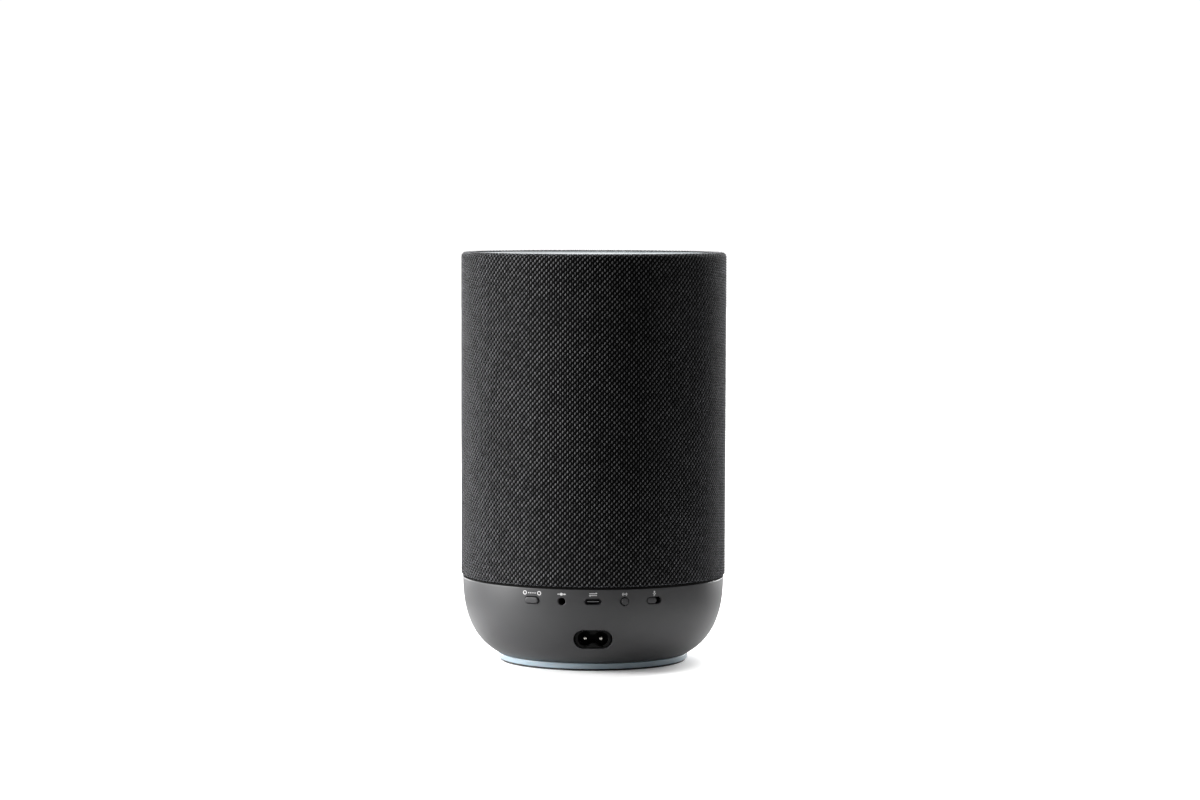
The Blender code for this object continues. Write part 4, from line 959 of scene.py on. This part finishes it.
def on_cloth(column, row, lift):
    """A point of the sleeve. The column turns round the speaker, the row goes up along the
    cloth's profile less the rows' fall, and lift is along the profile's own normal."""
    angle = 2 * math.pi * column / COLUMNS
    length = (row - 1 - ROWS_DOWN * column / COLUMNS) * ROW_PITCH
    held, step = np.clip(length, 0, cloth_length), 0.05
    radius, level = (np.interp(held, path_run, way) for way in cloth_path.T)
    spread, rise = (
        np.interp(held + step, path_run, way) - np.interp(held - step, path_run, way)
        for way in cloth_path.T
    )
    size = np.hypot(rise, spread)
    radius = radius + lift * rise / size
    level = level - lift * spread / size
    return np.stack([radius * np.cos(angle), radius * np.sin(angle), level], axis=-1), length


def woven_cloth():
    """Four triangles to each crossing, from its corners to its middle. A corner is a gap
    between yarns, and a middle is high where the warp is on top, by turns like a chessboard."""
    gap, over, under = -0.30, 0.05, -0.12
    corner_column, corner_row = np.meshgrid(np.arange(COLUMNS + 1), np.arange(ROWS), indexing="ij")
    corner, corner_length = on_cloth(corner_column, corner_row, gap)
    column, row = np.meshgrid(np.arange(COLUMNS), np.arange(ROWS - 1), indexing="ij")
    warp_up = (column + row) % 2 == 0
    middle, middle_length = on_cloth(column + 0.5, row + 0.5, np.where(warp_up, over, under))
    corner_id = np.arange((COLUMNS + 1) * ROWS).reshape(COLUMNS + 1, ROWS)
    middle_id = corner_id.size + np.arange(COLUMNS * (ROWS - 1)).reshape(COLUMNS, ROWS - 1)
    ring = [corner_id[:-1, :-1], corner_id[1:, :-1], corner_id[1:, 1:], corner_id[:-1, 1:]]
    faces = np.stack(
        [np.stack([ring[k], ring[(k + 1) % 4], middle_id], axis=-1) for k in range(4)], axis=2
    ).reshape(-1, 3)
    points = np.concatenate([corner.reshape(-1, 3), middle.reshape(-1, 3)])
    length = np.concatenate([corner_length.ravel(), middle_length.ravel()])
    corner_grid = np.stack([corner_column, corner_row], axis=-1).reshape(-1, 2)
    middle_grid = np.stack([column + 0.5, row + 0.5], axis=-1).reshape(-1, 2)
    grid = np.concatenate([corner_grid, middle_grid])
    kept = (length[faces].max(axis=1) > 0) & (length[faces].min(axis=1) < cloth_length)
    faces = faces[kept]
    used, faces = np.unique(faces, return_inverse=True)
    faces = faces.reshape(-1, 3)
    sleeve = new_piece("cloth_sleeve", points[used], faces, sharp=180, merge=False)
    sheet_map = sleeve.data.uv_layers.new(name="threads")
    sheet_map.data.foreach_set("uv", (grid[used][faces.ravel()] / (COLUMNS, ROWS)).ravel())
    merge_doubles(sleeve.data, outwards=False)
    return sleeve


def cloth_material():
    """Each crossing is found from the cloth's own map. The yarn on top is a rounded grain, long
    up and down for the warp and across for the weft; fibres streak along it, and each float of
    the warp has a brightness of its own. Each grain's colour fades from its middle to near black
    at its edge, and the gaps between yarns are nearly black: painted shade between the yarns,
    over the grey warp and black weft."""
    material, tree, shader = new_material(
        "charcoal_weave",
        Sheen_Weight=0.85,
        Sheen_Roughness=0.12,
        Sheen_Tint=(0.9, 0.92, 1.0, 1),
        Specular_IOR_Level=0.06,
    )
    threads = node(tree, "ShaderNodeUVMap", uv_map="threads").outputs[0]
    spread = node(tree, "ShaderNodeVectorMath", threads, (COLUMNS, ROWS, 1), operation="MULTIPLY")
    spread = spread.outputs[0]
    spot = parts_of(tree, spread)
    column, row = (calc(tree, "FLOOR", spot[k]) for k in (0, 1))
    x, y = (calc(tree, "SUBTRACT", calc(tree, "FRACT", spot[k]), 0.5) for k in (0, 1))
    odd = calc(tree, "FLOORED_MODULO", calc(tree, "ADD", column, row), 2.0)
    warp_up = calc(tree, "SUBTRACT", 1.0, odd)

    def grain_height(along, across, length, width):
        """One less the squares of the ways from the grain's middle, over its half sizes."""
        a = calc(tree, "POWER", calc(tree, "DIVIDE", along, length), 2.0)
        b = calc(tree, "POWER", calc(tree, "DIVIDE", across, width), 2.0)
        rest = calc(tree, "SUBTRACT", calc(tree, "SUBTRACT", 1.0, a), b)
        return calc(tree, "SQRT", calc(tree, "MAXIMUM", rest, 0.0))

    leaning = calc(tree, "MULTIPLY_ADD", y, -0.2, x)
    warp = calc(tree, "MULTIPLY", grain_height(y, leaning, 0.64, 0.38), warp_up)
    weft = calc(tree, "MULTIPLY", grain_height(x, y, 0.60, 0.42), odd)
    fine = node(tree, "ShaderNodeVectorMath", spread, (7.0, 1.3, 1.0), operation="MULTIPLY")
    streak = noise(tree, fine.outputs[0], 1.0, 3.0)
    slow = noise(tree, spread, 0.06)
    bright = calc(tree, "MULTIPLY_ADD", chance(tree, column, row), 0.75, 0.45)
    for cause, share, base in ((streak, 1.2, 0.4), (slow, 0.6, 0.7)):
        change = calc(tree, "MULTIPLY_ADD", cause, share, base)
        bright = calc(tree, "MULTIPLY", bright, change)
    # The warp's grey follows the grain's height down to black at its edge: painted shade towards
    # the gaps, over each float's own brightness.
    lit = calc(tree, "MULTIPLY", warp, bright, clamp=True)
    # Near black in the gaps between yarns: painted shade.
    gap_shade_black, weft_black, warp_grey = (0.0005,) * 3, (0.003, 0.003, 0.0032), (0.15, 0.15, 0.154)
    tone = blend(tree, lit, blend(tree, weft, gap_shade_black, weft_black), warp_grey)
    rough = calc(tree, "MULTIPLY_ADD", streak, 0.2, 0.75)
    feed(tree, shader, Base_Color=tone, Roughness=rough)
    height = calc(tree, "MULTIPLY_ADD", weft, 0.6, warp)
    height = calc(tree, "MULTIPLY_ADD", streak, 0.15, height)
    bump(tree, shader, height, 0.35)
    return material


dress(cabinet_plastic, "grille_frame")
sleeve = woven_cloth()
fit(sleeve, cloth_material(), "cloth", "fabric_sleeve")


# ---- Top plate ----------------------------------------------------------------------------
# A satin plate of pale plastic just below the cloth's rim, with a low lip round it. A black
# tray holds it and the touch board under it, and an amber ribbon joins that to the main board.
def ribbon_material():
    """A polyimide film: fine copper tracks run its length, side by side, under amber film."""
    material, tree, shader = new_material("polyimide_ribbon", Coat_Weight=0.3)
    place = object_place(tree)
    across = parts_of(tree, place)["Y"]
    inside = calc(tree, "LESS_THAN", calc(tree, "ABSOLUTE", across), 5.2 * MM)
    track = calc(tree, "MULTIPLY", lines(tree, across, 1.0 * MM, 0.55), inside)
    ripple = noise(tree, place, 250.0)
    tone = blend(tree, track, (0.42, 0.15, 0.02), (0.62, 0.30, 0.10))
    rough = calc(tree, "MULTIPLY_ADD", ripple, 0.25, 0.15)
    feed(tree, shader, Base_Color=tone, Roughness=rough)
    bump(tree, shader, calc(tree, "MULTIPLY_ADD", track, 0.6, ripple), 0.03)
    return material


dress(cabinet_plastic, "top_tray")
dress(circuit_board, "touch_board")
dress(ribbon_material(), "touch_ribbon")
plate_plastic = skinned(
    "pale_plate_plastic", (0.20, 0.225, 0.235), (0.22, 0.245, 0.255), 0.42, 0.08, 2600.0, 0.004
)
plate_low, plate_high = in_mm("top_plate")
plate_radius, plate_edge = plate_high.x, 0.3
lip_top, lip_width, lip_foot = plate_high.z + 0.75, 1.1, 0.6
side, lip_middle = plate_radius - plate_edge, lip_top - plate_edge
hollow, hollow_middle = plate_radius - lip_width - lip_foot, plate_high.z + lip_foot
inward = np.array([0.8, 0.55, 0.3, 0.1, 0.002]) * plate_radius
plate_profile = np.concatenate(
    [
        [(0.002, plate_low.z), (plate_radius - 2, plate_low.z)],
        arc_points(side, plate_low.z + plate_edge, plate_edge, 280, 350, 4),
        arc_points(side, lip_middle, plate_edge, 0, 80, 5),
        arc_points(side - 0.2, lip_middle, plate_edge, 100, 160, 4),
        arc_points(hollow, hollow_middle, lip_foot, -30, -90, 5),
        np.stack([inward, plate_high.z + 0 * inward], axis=-1),
    ]
)
plate_points = spun(plate_profile)
plate = new_piece("pale_top_plate", plate_points, grid_faces(*plate_points.shape[:2]))
fit(plate, plate_plastic, "pale_plastic", "top_plate")


# ---- Floor and light ----------------------------------------------------------------------
# A plain white table that sends less light back the further it is from the speaker. A large
# softbox stands at the left as seen from behind, two narrow ones stand beyond the speaker at
# its sides, and a broad soft sun lights the table evenly from above.
table_mesh = bpy.data.meshes.new("table")
table_mesh.from_pydata([(-6, -6, 0), (6, -6, 0), (6, 6, 0), (-6, 6, 0)], [], [(0, 1, 2, 3)])
table_top = place_in_scene("table", table_mesh)
WHITE, BLACK = (1, 1, 1), (0, 0, 0)
NEAR, FAR, NEAR_BOUNCE, FAR_BOUNCE, TABLE_GLOW = 0.12, 0.24, 0.62, 0.1, 0.11
white, tree, shader = new_material(
    "white_table", Roughness=0.9, Specular_IOR_Level=0.1, Emission_Color=(*WHITE, 1)
)
seen = node(tree, "ShaderNodeLightPath").outputs["Is Camera Ray"]
away = node(tree, "ShaderNodeVectorMath", object_place(tree), operation="LENGTH").outputs["Value"]
fall = (NEAR, FAR, NEAR_BOUNCE, FAR_BOUNCE)
bounce = node(tree, "ShaderNodeMapRange", away, *fall, interpolation_type="SMOOTHSTEP").outputs[0]
white_seen = calc(tree, "MAXIMUM", seen, bounce)
glow = calc(tree, "MULTIPLY", seen, TABLE_GLOW)
feed(tree, shader, Base_Color=blend(tree, white_seen, BLACK, WHITE), Emission_Strength=glow)
table_mesh.materials.append(white)


def softbox(name, spot, width, power, height=1.2, target=(0, 0, 0.12)):
    """An upright soft light that faces the speaker."""
    light = bpy.data.lights.new(name, "AREA")
    light.shape = "RECTANGLE"
    light.size, light.size_y = width, height
    light.energy = power
    turn = (Vector(spot) - Vector(target)).to_track_quat("Z", "Y").to_matrix().to_4x4()
    place_in_scene(name, light).matrix_world = Matrix.Translation(spot) @ turn


softbox("left_softbox", (1.35, 0.15, 0.45), 0.9, 56)
softbox("left_rim_softbox", (1.05, -1.25, 0.4), 0.5, 33)
softbox("right_softbox", (-0.95, -1.3, 0.4), 0.5, 41)
overhead = bpy.data.lights.new("overhead", "SUN")
overhead.energy = 3.9
overhead.angle = math.radians(46)
place_in_scene("overhead", overhead).matrix_world = turned_by(-11, "Y") @ turned_by(32, "X")

world = bpy.data.worlds.new("studio")
bpy.context.scene.world = world
world.use_nodes = True
tree = world.node_tree
sky = tree.nodes["Background"]
sky.inputs["Color"].default_value = (*WHITE, 1)
ALL_ROUND, FROM_FRONT, FROM_SIDE, BACKDROP = 0.19, 0.82, 0.22, 1.05
way = parts_of(tree, node(tree, "ShaderNodeTexCoord").outputs["Generated"])
glow = ALL_ROUND
for axis, strength in (("Y", FROM_FRONT), ("X", FROM_SIDE)):
    facing = calc(tree, "MAXIMUM", calc(tree, "MULTIPLY", way[axis], -1.0), 0.0)
    glow = calc(tree, "MULTIPLY_ADD", facing, strength, glow)
seen = node(tree, "ShaderNodeLightPath").outputs["Is Camera Ray"]
backdrop = calc(tree, "MULTIPLY", seen, BACKDROP)
feed(tree, sky, Strength=calc(tree, "MAXIMUM", backdrop, glow))
bpy.context.scene.view_settings.view_transform = "Standard"
